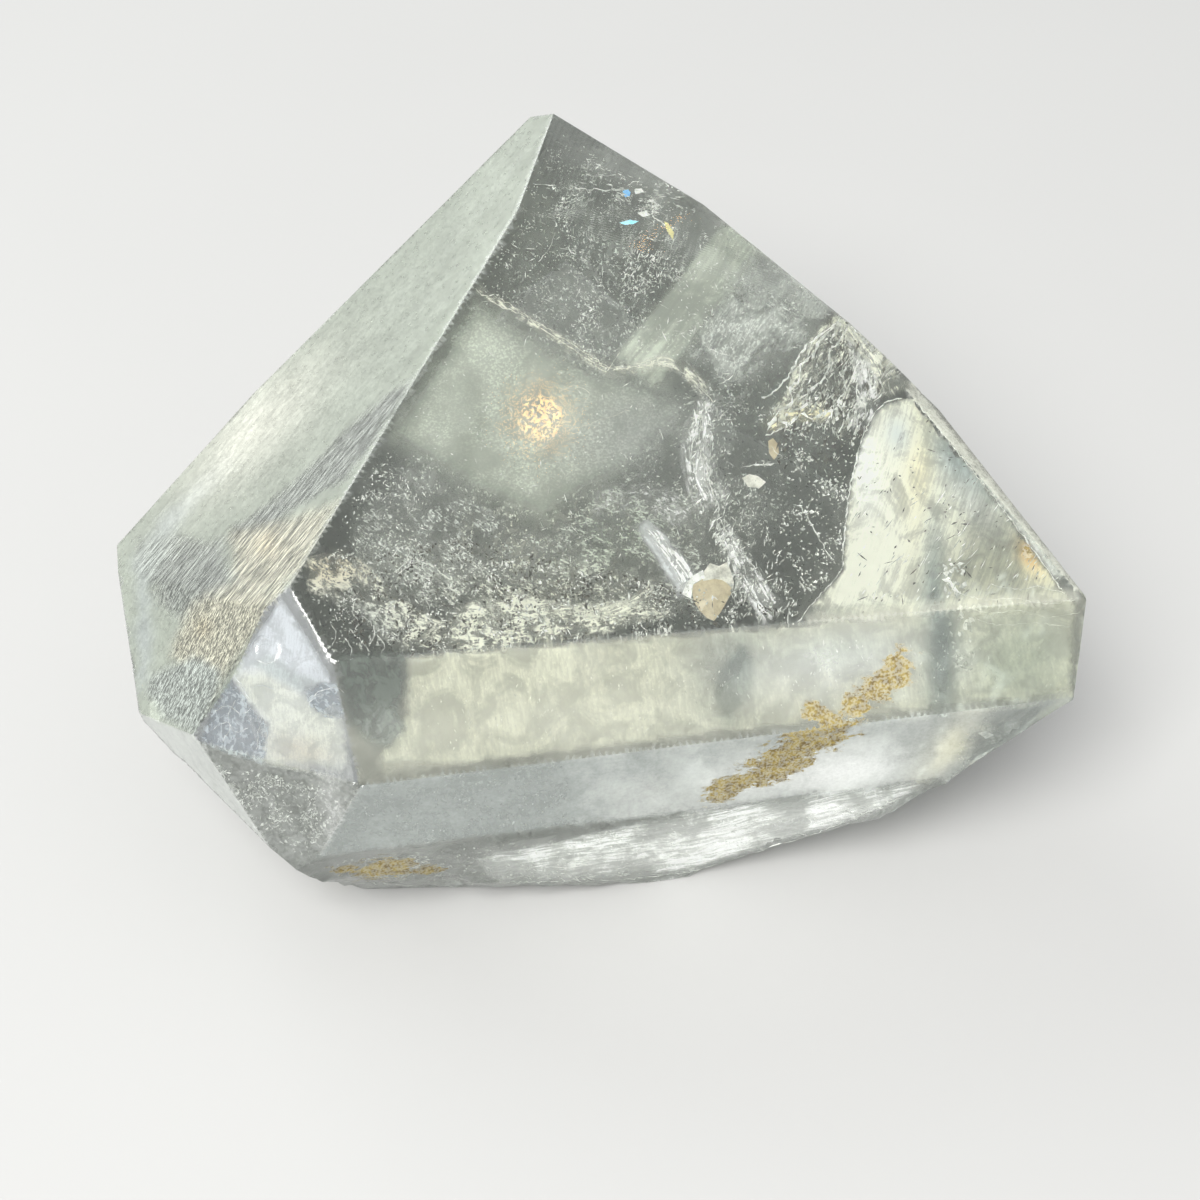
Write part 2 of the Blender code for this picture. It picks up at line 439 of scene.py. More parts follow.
# Blotches on the faces: an outline with a soft edge, or a spot with its size across and along and its turn in
# degrees, all in pixels of the view, and then the change of the finish.
blotches = {
    "roof": [
        {"spot": (540, 418), "size": (20, 20), "glitter": 1.0, "tint": "grey"},
        {"outline": [(800, 640), (808, 612), (930, 600), (1076, 587), (1084, 604), (930, 622)], "edge": 4,
         "milk": 0.22, "tint": "cream"},
    ],
    "bevel": [
        {"outline": [(912, 380), (1090, 590), (1066, 592), (1000, 510), (958, 454), (903, 392)],
         "edge": 2, "milk": 0.34, "grain": 0.12, "tint": "cream"},
    ],
    "leftSlope": [
        {"outline": [(422, 369), (402, 403), (375, 442), (344, 481), (305, 501), (271, 525), (238, 540), (232, 530),
                     (271, 501), (305, 471), (339, 437), (383, 398)],
         "edge": 5, "milk": -0.06, "lines": 1.0, "grain": -0.10, "tint": "mist"},
        {"outline": [(232, 535), (271, 527), (314, 510), (339, 501), (324, 535), (300, 569), (280, 588), (251, 593),
                     (232, 574)],
         "edge": 8, "milk": 0.06, "lines": 1.0, "grain": -0.10, "tint": "fawn"},
        {"outline": [(139, 544), (173, 535), (222, 544), (232, 583), (215, 613), (183, 622), (154, 598), (139, 574)],
         "edge": 12, "milk": -0.02, "lines": 1.0, "grain": -0.10, "tint": "mist"},
        {"outline": [(193, 603), (232, 585), (280, 590), (250, 640), (227, 676), (198, 681), (168, 656)],
         "edge": 9, "milk": 0.04, "lines": 0.9, "grain": -0.10, "tint": "fawn"},
        {"outline": [(151, 676), (193, 656), (220, 671), (215, 700), (200, 742), (168, 720), (147, 695)],
         "edge": 5, "milk": -0.04, "lines": 1.0, "grain": -0.10, "tint": "haze"},
        {"outline": [(134, 560), (160, 520), (228, 448), (238, 458), (176, 530), (150, 590), (152, 660), (140, 690)],
         "edge": 10, "milk": 0.04, "lines": -0.05, "grain": 0.10, "tint": "haze"},
        {"spot": (266, 544), "size": (9, 9), "tint": "sand"},
        {"spot": (203, 628), "size": (6, 7), "milk": -0.1, "lines": 0.3, "tint": "sand"},
        {"spot": (250, 430), "size": (26, 70), "turn": -45, "milk": 0.08, "lines": 0.1, "tint": "cream"},
    ],
    "brow": [
        # less milk here, so that the painted shade sheet under the brow shows
        {"outline": [(332, 656), (402, 650), (406, 680), (400, 710), (410, 740), (386, 752), (346, 722)],
         "edge": 8, "milk": -0.13, "tint": "grey"},
        {"outline": [(721, 669), (742, 642), (754, 659), (752, 693), (738, 712), (728, 728), (718, 712), (714, 688)],
         "edge": 5, "milk": -0.06, "tint": "haze"},
        {"spot": (560, 715), "size": (150, 26), "turn": 5, "milk": 0.08, "lines": 0.05, "tint": "cream"},
        {"spot": (840, 660), "size": (70, 26), "turn": 5, "milk": 0.10, "tint": "white"},
        {"spot": (943, 640), "size": (12, 60), "milk": -0.02, "tint": "haze"},
        {"spot": (1020, 660), "size": (40, 40), "lines": 0.2, "tint": "green"},
    ],
    "wall": [
        {"outline": [(600, 780), (760, 740), (1080, 680), (1010, 770), (900, 816), (760, 836), (600, 850)],
         "edge": 60, "milk": 0.18, "tint": "grey"},
        {"spot": (846, 770), "size": (50, 13), "turn": 8, "milk": 0.16, "tint": "white"},
        {"spot": (1000, 735), "size": (64, 26), "turn": 20, "milk": -0.22, "tint": "mist"},
        {"spot": (950, 742), "size": (12, 44), "turn": -38, "milk": 0.04, "tint": "cream"},
    ],
    "corner": [
        {"spot": (334, 815), "size": (9, 34), "turn": 10, "milk": 0.12, "tint": "white"},
    ],
    "undercut": [
        {"outline": [(330, 850), (560, 838), (600, 850), (560, 880), (330, 880)], "edge": 14, "milk": 0.04,
         "tint": "grey"},
        {"spot": (700, 842), "size": (110, 16), "turn": 9, "milk": 0.10, "tint": "white"},
        {"spot": (840, 812), "size": (60, 9), "turn": 9, "milk": 0.10, "tint": "white"},
    ],
}

# Iron stains: the face they lie on, spot, size in pixels and turn.
stains = {
    "brow": [
        {"spot": (895, 668), "size": (12, 16), "turn": -20},
        {"spot": (880, 686), "size": (34, 13), "turn": 30},
        {"spot": (856, 706), "size": (18, 9), "turn": 25},
        {"spot": (812, 712), "size": (8, 9), "turn": 20},
        {"spot": (828, 718), "size": (19, 7), "turn": -8},
    ],
    "wall": [
        {"spot": (800, 748), "size": (48, 14), "turn": 24},
        {"spot": (776, 768), "size": (40, 12), "turn": 20},
        {"spot": (730, 786), "size": (26, 10), "turn": 22},
    ],
    "undercut": [
        {"spot": (386, 869), "size": (28, 9), "turn": 6},
        {"spot": (430, 870), "size": (13, 4)},
        {"spot": (345, 868), "size": (14, 3), "turn": 4},
    ],
    "roof": [
        {"spot": (1027, 550), "size": (4, 7)},
    ],
}

edgeShakes = ((0.35, 0, 8), (0.6, 5, 26))       # share of the edge, height in the noise, size in pixels


def blotchWeight(x, y, blotch):
    if "outline" in blotch:
        edge, outline = blotch["edge"], blotch["outline"]
        shake = edge * sum(share * noise.noise(Vector((x, y, height)) / size) for share, height, size in edgeShakes)
        gap = toOutline(x, y, outline)
        return smooth(-edge, edge, (gap if inOutline(x, y, outline) else -gap) + shake)
    dx, dy = x - blotch["spot"][0], blotch["spot"][1] - y
    turn = math.radians(blotch.get("turn", 0))
    across = dx * math.cos(turn) + dy * math.sin(turn)
    along = -dx * math.sin(turn) + dy * math.cos(turn)
    wide, long = blotch["size"]
    return math.exp(-0.5 * ((across / wide) ** 2 + (along / long) ** 2))


def dressSkin(bm, layer):
    # the finish of each face goes into named values at the points, which the material reads
    mesh = bpy.data.meshes.new("topazCrystal")
    names = [[finishNames[f[layer]] for f in v.link_faces] for v in bm.verts]
    places = [v.co.copy() for v in bm.verts]
    bm.to_mesh(mesh)
    bm.free()
    finishKeys = ("milk", "grain", "lines", "mottle", "glitter")
    values = {key: [] for key in finishKeys + ("stain",)}
    tintValues = []
    for kinds, place in zip(names, places):
        x, y = spotOf(place)
        onEdge = len(set(kinds)) > 1 and "broken" not in kinds
        if place.y < skin["frontBreak"] * mm:
            kinds = ["undercut" if k == "broken" else k for k in kinds]
        share = 1.0 / len(kinds)
        here = {key: sum(faceFinish[k].get(key, 0.0) for k in kinds) * share for key in finishKeys}
        tint = tints[faceFinish[kinds[0]]["tint"]]
        here["stain"] = 0.0
        for kind in sorted(set(kinds)):
            for blotch in blotches.get(kind, []):
                weight = blotchWeight(x, y, blotch)
                for key in finishKeys:
                    here[key] += blotch.get(key, 0.0) * weight
                tint = mixed(tint, tints[blotch["tint"]], weight)
            for stain in stains.get(kind, []):
                here["stain"] = max(here["stain"], blotchWeight(x, y, stain))
        # creases get a little more milk, worn frost and a painted highlight line
        here["milk"] += skin["edgeFrostHighlight"] if onEdge else 0.0
        for key, value in here.items():
            values[key].append(max(0.0, min(1.0, value)))
        tintValues.extend((*tint, 1.0))
    for key, numbers in values.items():
        mesh.attributes.new(key, "FLOAT", "POINT").data.foreach_set("value", numbers)
    mesh.attributes.new("tint", "FLOAT_COLOR", "POINT").data.foreach_set("color", tintValues)
    for p in mesh.polygons:
        p.use_smooth = True
    mesh.set_sharp_from_angle(angle=math.radians(skin["smoothDegrees"]))
    return mesh


# Small helpers for the node trees. A value is a socket, a number or a color.
def addNode(tree, kind, **settings):
    node = tree.nodes.new(kind)
    for name, value in settings.items():
        setattr(node, name, value)
    return node


def feed(tree, socket, value):
    if isinstance(value, tuple):
        socket.default_value = (*value, 1.0)
    elif isinstance(value, (int, float)):
        socket.default_value = value
    else:
        tree.links.new(value, socket)


def mathNode(tree, operation, *values, held=False):
    # works through the values from the left; held keeps the result between 0 and 1
    total = values[0]
    for i, value in enumerate(values[1:], start=2):
        node = addNode(tree, "ShaderNodeMath", operation=operation, use_clamp=held and i == len(values))
        feed(tree, node.inputs[0], total)
        feed(tree, node.inputs[1], value)
        total = node.outputs[0]
    return total


def plus(tree, *values, held=False):
    return mathNode(tree, "ADD", *values, held=held)


def times(tree, *values, held=False):
    return mathNode(tree, "MULTIPLY", *values, held=held)


def mixColors(tree, share, first, second, **settings):
    node = addNode(tree, "ShaderNodeMix", data_type="RGBA", **settings)
    for i, value in ((0, share), (6, first), (7, second)):
        feed(tree, node.inputs[i], value)
    return node.outputs[2]


def mappedNoise(tree, space, scale, run=None, **settings):
    mapping = addNode(tree, "ShaderNodeMapping", vector_type="TEXTURE")
    mapping.inputs["Scale"].default_value = scale
    if run is not None:
        mapping.inputs["Rotation"].default_value = run.to_track_quat("X", "Z").to_euler()
    tree.links.new(space, mapping.inputs["Vector"])
    node = addNode(tree, "ShaderNodeTexNoise", **settings)
    node.inputs["Scale"].default_value = 1.0
    tree.links.new(mapping.outputs[0], node.inputs["Vector"])
    return node


def noiseNode(tree, space, size, detail=4.0, roughness=0.55, run=None, stretch=1.0, curl=0.0):
    # size is the width of the pattern in mm; along the run it is stretched
    node = mappedNoise(tree, space, (size * stretch * mm, size * mm, size * mm), run)
    node.inputs["Detail"].default_value = detail
    node.inputs["Roughness"].default_value = roughness
    node.inputs["Distortion"].default_value = curl
    return node.outputs["Fac"]


def ridgeNode(tree, space, size):
    # sharp crests in a net, like the edges of crumpled glass
    node = mappedNoise(tree, space, (size * mm,) * 3, noise_type="RIDGED_MULTIFRACTAL", normalize=False)
    for name, value in {"Detail": 3.0, "Roughness": 0.6, "Offset": 0.9, "Gain": 1.6, "Distortion": 0.7}.items():
        node.inputs[name].default_value = value
    return node.outputs["Fac"]


def swingNode(tree, value, amount):
    # a noise around its middle, as plus or minus the amount
    return times(tree, mathNode(tree, "SUBTRACT", value, 0.5), 2.0 * amount)


def rampNode(tree, value, low, high):
    node = addNode(tree, "ShaderNodeMapRange", interpolation_type="SMOOTHSTEP")
    node.inputs["From Min"].default_value = low
    node.inputs["From Max"].default_value = high
    tree.links.new(value, node.inputs["Value"])
    return node.outputs["Result"]


def crossingNode(tree, value, width):
    # thin lines where a noise crosses its middle
    gap = mathNode(tree, "SUBTRACT", value, 0.5)
    far = addNode(tree, "ShaderNodeMath", operation="ABSOLUTE")
    feed(tree, far.inputs[0], gap)
    return mathNode(tree, "SUBTRACT", 1.0, rampNode(tree, far.outputs[0], 0.0, width))


def attributeNode(tree, name, output="Fac"):
    return addNode(tree, "ShaderNodeAttribute", attribute_name=name).outputs[output]


def newMaterial(name):
    material = bpy.data.materials.new(name)
    material.use_nodes = True
    return material, material.node_tree, material.node_tree.nodes["Principled BSDF"]


def objectSpace(tree):
    return addNode(tree, "ShaderNodeTexCoord").outputs["Object"]


# The stone itself. Each pattern has its size in mm, and the streaks are stretched along the slope.
topaz = {
    "clearColor": (0.98, 0.99, 0.975),
    "stainColor": (0.30, 0.23, 0.055),
    "stainDark": (0.12, 0.08, 0.015),
    "streakDark": (0.50, 0.50, 0.48),
    "streakPale": (1.12, 1.12, 1.07),
    "absorbColor": (0.68, 0.70, 0.67),
    "absorbDensity": 70.0,
    "sparkleRough": 0.05,
    "etchedRough": 0.27,
    "stainRough": 0.5,
    "streakHeight": 0.034,
    "grainHeight": 0.06,
    "cloud": {"size": 2.6, "detail": 4.0, "roughness": 0.62},
    "fine": {"size": 0.34, "detail": 3.0, "roughness": 0.68},
    "finer": {"size": 0.13, "detail": 2.0, "roughness": 0.7},
    "sparkle": {"size": 0.10, "detail": 1.0, "roughness": 0.5},
    "etched": {"size": 0.11, "detail": 1.0, "roughness": 0.5},
    "thinStreak": {"size": 0.04, "detail": 1.0, "roughness": 0.5, "stretch": 18.0, "curl": 0.4},
    "broadStreak": {"size": 0.10, "detail": 3.0, "roughness": 0.6, "stretch": 12.0, "curl": 0.6},
    "fibre": {"size": 0.24, "detail": 2.0, "roughness": 0.6, "stretch": 8.0, "curl": 0.5},
    "crumb": {"size": 0.42, "detail": 5.0, "roughness": 0.80, "stretch": 2.2},
}


def topazMaterial(look):
    material, tree, shader = newMaterial("topaz")
    space, link = objectSpace(tree), tree.links.new
    milk, grain, lines, stain, mottle, glitter = (attributeNode(tree, name) for name in (
        "milk", "grain", "lines", "stain", "mottle", "glitter"))
    cloud, fine, finer, sparkle, etched = (noiseNode(tree, space, **look[name]) for name in (
        "cloud", "fine", "finer", "sparkle", "etched"))
    thin, broad, fibre = (noiseNode(tree, space, run=streakRun, **look[name]) for name in (
        "thinStreak", "broadStreak", "fibre"))
    crumb = noiseNode(tree, space, run=Vector((1, 0, 0)), **look["crumb"])
    sparkle = rampNode(tree, sparkle, 0.42, 0.60)
    streaks = plus(tree, times(tree, thin, 0.45), times(tree, broad, 0.55))

    # milk: the face's share, broken up by clouds and grain, and by streaks where the face is striated
    swing = plus(tree, swingNode(tree, cloud, 0.30), times(tree, swingNode(tree, fine, 1.1), mottle))
    swing = plus(tree, swing, times(tree, swingNode(tree, finer, 1.1), mottle))
    fibres = times(tree, crossingNode(tree, fibre, 0.05), 0.55)
    streakSwing = times(tree, plus(tree, swingNode(tree, streaks, 1.9), fibres), lines)
    edgeSwing = times(tree, plus(tree, swing, -0.05), times(tree, rampNode(tree, milk, 0.03, 0.16), 0.16))
    milkNow = plus(tree, times(tree, milk, plus(tree, swing, streakSwing, 1.0)), edgeSwing, held=True)

    # stain: a soft patch eaten into crumbs by a coarse and a fine noise
    stainSum = plus(tree, stain, swingNode(tree, crumb, 1.15))
    stainNow = times(tree, rampNode(tree, stainSum, 0.50, 0.58), rampNode(tree, stain, 0.10, 0.30))
    stainNow = times(tree, stainNow, plus(tree, times(tree, sparkle, 0.25), 0.75))
    stainTone = mixColors(tree, rampNode(tree, fine, 0.35, 0.62), look["stainDark"], look["stainColor"])

    streakTone = mixColors(tree, rampNode(tree, streaks, 0.45, 0.56), look["streakDark"], look["streakPale"])
    tint = attributeNode(tree, "tint", "Color")
    streaked = mixColors(tree, times(tree, lines, 1.0, held=True), tint, streakTone, blend_type="MULTIPLY")
    base = mixColors(tree, rampNode(tree, milkNow, 0.0, 0.12), look["clearColor"], streaked)
    link(mixColors(tree, stainNow, base, stainTone), shader.inputs["Base Color"])
    solidShare = mathNode(tree, "MAXIMUM", milkNow, stainNow)
    link(mathNode(tree, "SUBTRACT", 1.0, solidShare, held=True), shader.inputs["Transmission Weight"])
    rough = times(tree, grain, plus(tree, times(tree, fine, 0.8), 0.6))
    rough = plus(tree, rough, times(tree, sparkle, look["sparkleRough"]))
    rough = plus(tree, rough, times(tree, rampNode(tree, etched, 0.45, 0.55), glitter, look["etchedRough"]))
    link(plus(tree, rough, times(tree, stainNow, look["stainRough"]), held=True), shader.inputs["Roughness"])

    # relief finer than the mesh: striations and a slight grain
    heights = plus(tree, times(tree, streaks, lines, look["streakHeight"]),
                   times(tree, times(tree, fine, times(tree, grain, grain)), look["grainHeight"]))
    bump = addNode(tree, "ShaderNodeBump")
    bump.inputs["Strength"].default_value = 1.0
    bump.inputs["Distance"].default_value = mm
    link(heights, bump.inputs["Height"])
    link(bump.outputs["Normal"], shader.inputs["Normal"])

    shader.inputs["IOR"].default_value = topazIor
    absorb = addNode(tree, "ShaderNodeVolumeAbsorption")
    absorb.inputs["Color"].default_value = (*look["absorbColor"], 1.0)
    absorb.inputs["Density"].default_value = look["absorbDensity"]
    link(absorb.outputs[0], tree.nodes["Material Output"].inputs["Volume"])
    return material


def addPiece(name, mesh, material):
    piece = bpy.data.objects.new(name, mesh)
    bpy.context.scene.collection.objects.link(piece)
    mesh.materials.clear()
    mesh.materials.append(material)
    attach(piece, "root")
    return piece


skinMesh, finishLayer = buildSkin(solid)
openEdges = sum(1 for e in skinMesh.edges if len(e.link_faces) != 2)
print("skin meshed:", len(skinMesh.faces), "triangles,", openEdges, "open edges")
crystal = addPiece("topazCrystal", dressSkin(skinMesh, finishLayer), topazMaterial(topaz))
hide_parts("topaz_crystal")
print("skin dressed")

# Veils inside the stone: healed cracks, haze and clouds. Each is a sheet that lies at a depth under the skin, in mm,
# which changes from left to right and from top to bottom, in mm per 100 pixels of the view. The flow is the line its
# fibres follow. A patch changes the tint, and adds to the veil or thins it.
veils = {
    "rightBreak": {
        "outline": [(902, 398), (885, 402), (872, 416), (862, 438), (855, 465), (847, 500), (843, 540), (842, 570),
                    (830, 584), (812, 604), (796, 632), (930, 626), (1082, 612), (1046, 566), (985, 484), (916, 398)],
        "flow": [(925, 396), (905, 470), (880, 540), (850, 620)],
        "depth": 1.4, "perRight": -0.6, "perDown": 0.2, "wave": 0.35,
        "edge": 3, "step": 5, "look": "rightCream", "tint": "cream",
        "patches": [
            {"spot": (920, 470), "size": (12, 60), "turn": -8, "tint": "yellow", "veil": 0.1},
            {"spot": (897, 434), "size": (9, 14), "turn": 10, "tint": "wallGrey", "veil": -0.10},
            {"spot": (962, 470), "size": (13, 40), "turn": 38, "tint": "blue", "veil": -0.15},
            {"spot": (985, 520), "size": (10, 34), "turn": 34, "tint": "grey", "veil": -0.25},
            {"spot": (934, 590), "size": (8, 52), "tint": "blue", "veil": -0.45},
            {"spot": (866, 480), "size": (11, 60), "turn": 8, "tint": "white", "veil": 0.3},
            {"spot": (880, 550), "size": (26, 44), "turn": -20, "tint": "cream", "veil": 0.2},
            {"spot": (1005, 568), "size": (46, 36), "tint": "dusk", "veil": -0.3},
            {"spot": (1038, 566), "size": (12, 15), "turn": 40, "tint": "yellow", "veil": 0.3},
            {"spot": (1029, 555), "size": (6, 11), "turn": 30, "tint": "orange", "veil": 0.3},
        ],
    },
    "bevelBreak": {
        "outline": [(922, 394), (1002, 496), (1080, 592), (1070, 600), (990, 494), (914, 398)],
        "flow": [(918, 394), (1076, 594)],
        "depth": 0.4, "wave": 0.05,
        "edge": 2, "strength": 0.8, "step": 4, "look": "rightCream", "tint": "grey",
    },
    "paleHaze": {
        "outline": [(470, 282), (520, 312), (560, 335), (600, 356), (660, 366), (716, 400), (690, 446), (650, 476),
                    (600, 500), (545, 540), (470, 506), (365, 440), (410, 370)],
        "flow": [(385, 440), (560, 420), (720, 430)],
        "depth": 3.2, "perRight": 1.0, "perDown": 0.8, "wave": 0.4,
        "edge": 44, "strength": 1.15, "step": 6, "look": "greenHaze", "tint": "band",
        "patches": [{"spot": (650, 430), "size": (56, 34), "turn": 20, "tint": "grey", "veil": -0.5}],
    },
    "wideDust": {
        "outline": [(560, 135), (700, 215), (830, 310), (850, 380), (850, 470), (820, 500), (770, 560), (760, 610),
                    (600, 636), (440, 640), (350, 600), (330, 560), (400, 430), (500, 262)],
        "flow": [(560, 140), (620, 380), (560, 640)],
        "depth": 5.5, "perRight": 0.6, "perDown": -0.6, "wave": 0.9,
        "edge": 40, "step": 9, "look": "dust", "tint": "grey",
        "patches": [
            {"spot": (560, 560), "size": (120, 50), "tint": "cream", "veil": 0.2},
            {"spot": (812, 510), "size": (26, 56), "tint": "grey", "veil": -1.0},
            {"spot": (390, 480), "size": (30, 44), "tint": "white", "veil": 0.5},
        ],
    },
    "lowerCrumple": {
        "outline": [(372, 445), (420, 470), (480, 500), (545, 530), (590, 492), (640, 466), (700, 480), (716, 540),
                    (730, 618), (600, 632), (480, 640), (400, 600), (345, 545)],
        "flow": [(372, 445), (520, 560), (700, 610)],
        "depth": 3.0, "perRight": 0.3, "perDown": -0.8, "wave": 1.0,
        "edge": 14, "strength": 0.9, "step": 6, "look": "crumple", "tint": "grey",
        "patches": [
            {"spot": (385, 490), "size": (22, 34), "turn": 10, "tint": "grey", "veil": -0.5},
            {"spot": (620, 540), "size": (50, 40), "tint": "green", "veil": 0.1},
            {"spot": (560, 600), "size": (90, 22), "tint": "cream", "veil": 0.3},
        ],
    },
    "leftSpeckle": {
        "outline": [(306, 556), (345, 546), (372, 566), (400, 594), (440, 620), (470, 600), (520, 588), (560, 602),
                    (620, 598), (690, 612), (560, 646), (452, 656), (404, 658), (345, 612), (306, 592)],
        "flow": [(306, 570), (390, 615), (450, 640), (690, 612)],
        "depth": 1.3, "perRight": 0.3, "perDown": 0.3, "wave": 0.5,
        "edge": 8, "step": 5, "look": "lumps", "tint": "cream",
        "patches": [
            {"spot": (332, 570), "size": (24, 16), "tint": "sand"},
            {"spot": (350, 628), "size": (30, 24), "tint": "grey", "veil": -0.8},
        ],
    },
    "browCloud": {
        "outline": [(400, 654), (560, 642), (800, 622), (940, 609), (1078, 597), (1072, 694), (900, 714), (700, 737),
                    (420, 771), (364, 780), (384, 745), (402, 728), (404, 690)],
        "flow": [(400, 668), (415, 768)],
        "depth": 1.2, "perRight": 0.1, "perDown": 0.3, "wave": 0.4,
        "edge": 4, "step": 6, "look": "browFog", "tint": "cream",
        "patches": [
            {"spot": (728, 668), "size": (26, 30), "turn": -30, "tint": "blue", "veil": -0.5},
            {"spot": (940, 650), "size": (9, 60), "tint": "blue", "veil": -0.5},
            {"spot": (964, 660), "size": (9, 14), "tint": "white", "veil": 0.6},
            {"spot": (560, 705), "size": (110, 22), "turn": 5, "tint": "cream", "veil": 0.2},
            {"spot": (840, 650), "size": (60, 16), "turn": 5, "tint": "green", "veil": 0.1},
        ],
    },
    "wallCloud": {
        "outline": [(690, 754), (800, 742), (930, 726), (1060, 708), (985, 758), (920, 792), (740, 806), (640, 812)],
        "flow": [(660, 800), (860, 765), (1050, 715)],
        "depth": 0.8, "perRight": 0.1, "perDown": 0.2, "wave": 0.3,
        "edge": 12, "strength": 0.9, "step": 6, "look": "wallFog", "tint": "white",
        "patches": [{"spot": (955, 745), "size": (10, 46), "turn": -38, "tint": "yellow", "veil": 0.5}],
    },
    "crackBody": {
        "outline": [(836, 306), (866, 328), (896, 366), (884, 396), (866, 412), (856, 440), (838, 450), (830, 424),
                    (796, 424), (766, 436), (772, 410), (788, 384), (796, 356), (814, 334)],
        "flow": [(838, 306), (830, 350), (812, 390), (770, 434)],
        "depth": 1.6, "perRight": -0.3, "perDown": 0.2, "wave": 0.4,
        "edge": 9, "strength": 0.6, "step": 5, "look": "braids", "tint": "cream",
        "patches": [
            {"spot": (830, 380), "size": (12, 24), "turn": 20, "tint": "cream", "veil": -0.5},
            {"spot": (792, 414), "size": (20, 8), "tint": "yellow", "veil": 0.6},
            {"spot": (862, 370), "size": (10, 40), "tint": "white", "veil": 0.4},
        ],
    },
    "kiteFrost": {
        "outline": [(281, 597), (304, 632), (329, 672), (333, 687), (322, 685), (306, 691), (312, 705), (324, 714),
                    (343, 718), (353, 780), (263, 765), (261, 754), (266, 725), (251, 710), (229, 675), (252, 642)],
        "flow": [(285, 600), (275, 690), (285, 770)],
        "depth": 0.10, "wave": 0.02,
        "edge": 1, "step": 5, "look": "frost", "tint": "lavender",
        "patches": [
            {"outline": [(228, 674), (262, 668), (300, 690), (350, 720), (356, 785), (262, 764), (266, 725)],
             "edge": 9, "tint": "pearl", "veil": -0.04},
            {"outline": [(250, 662), (268, 656), (304, 678), (330, 686), (306, 694), (272, 676)],
             "edge": 5, "tint": "haze", "veil": -0.10},
            {"spot": (300, 750), "size": (22, 10), "turn": -12, "tint": "sand"},
        ],
    },
    "kiteBlue": {
        "outline": [(228, 673), (254, 708), (269, 725), (265, 765), (236, 758), (199, 742), (215, 702)],
        "flow": [(226, 678), (226, 750)],
        "depth": 0.12, "wave": 0.02,
        "edge": 1, "step": 4, "look": "veinedBlue", "tint": "deep",
    },
    "kiteSide": {
        "outline": [(304, 689), (322, 682), (338, 683), (347, 720), (324, 718), (309, 706)],
        "flow": [(308, 691), (344, 712)],
        "depth": 0.12, "wave": 0.02,
        "edge": 1, "step": 4, "look": "veinedBlue", "tint": "deep",
    },
    # browShade: a dark sheet of painted shade at the left end of the brow, where the clear stone shows dark
    "browShade": {
        "outline": [(332, 652), (412, 646), (412, 676), (404, 702), (412, 728), (394, 750), (366, 752), (346, 722)],
        "flow": [(345, 670), (380, 740)],
        "depth": 0.5, "wave": 0.05,
        "edge": 10, "step": 5, "look": "shade", "tint": "paintedShadeTone",
        "patches": [{"spot": (385, 735), "size": (26, 14), "turn": 20, "tint": "haze", "veil": -0.5}],
    },
    "rightHaze": {
        "outline": [(752, 240), (800, 275), (846, 312), (820, 340), (790, 372), (730, 392), (690, 372), (660, 352),
                    (712, 290)],
        "flow": [(752, 240), (690, 360)],
        "depth": 3.4, "perRight": 0.4, "perDown": 0.4, "wave": 0.3,
        "edge": 26, "strength": 0.9, "step": 7, "look": "streakHaze", "tint": "grey",
    },
    "breakFibres": {
        "outline": [(470, 856), (560, 839), (690, 810), (820, 791), (945, 777), (870, 816), (770, 847), (690, 872),
                    (560, 884), (490, 881)],
        "flow": [(470, 868), (690, 838), (945, 780)],
        "depth": 0.22, "perDown": 0.1, "wave": 0.08,
        "edge": 8, "step": 5, "look": "whiteFibres", "tint": "white",
        "patches": [{"spot": (720, 838), "size": (80, 14), "turn": 9, "tint": "white", "veil": 0.5}],
    },
}

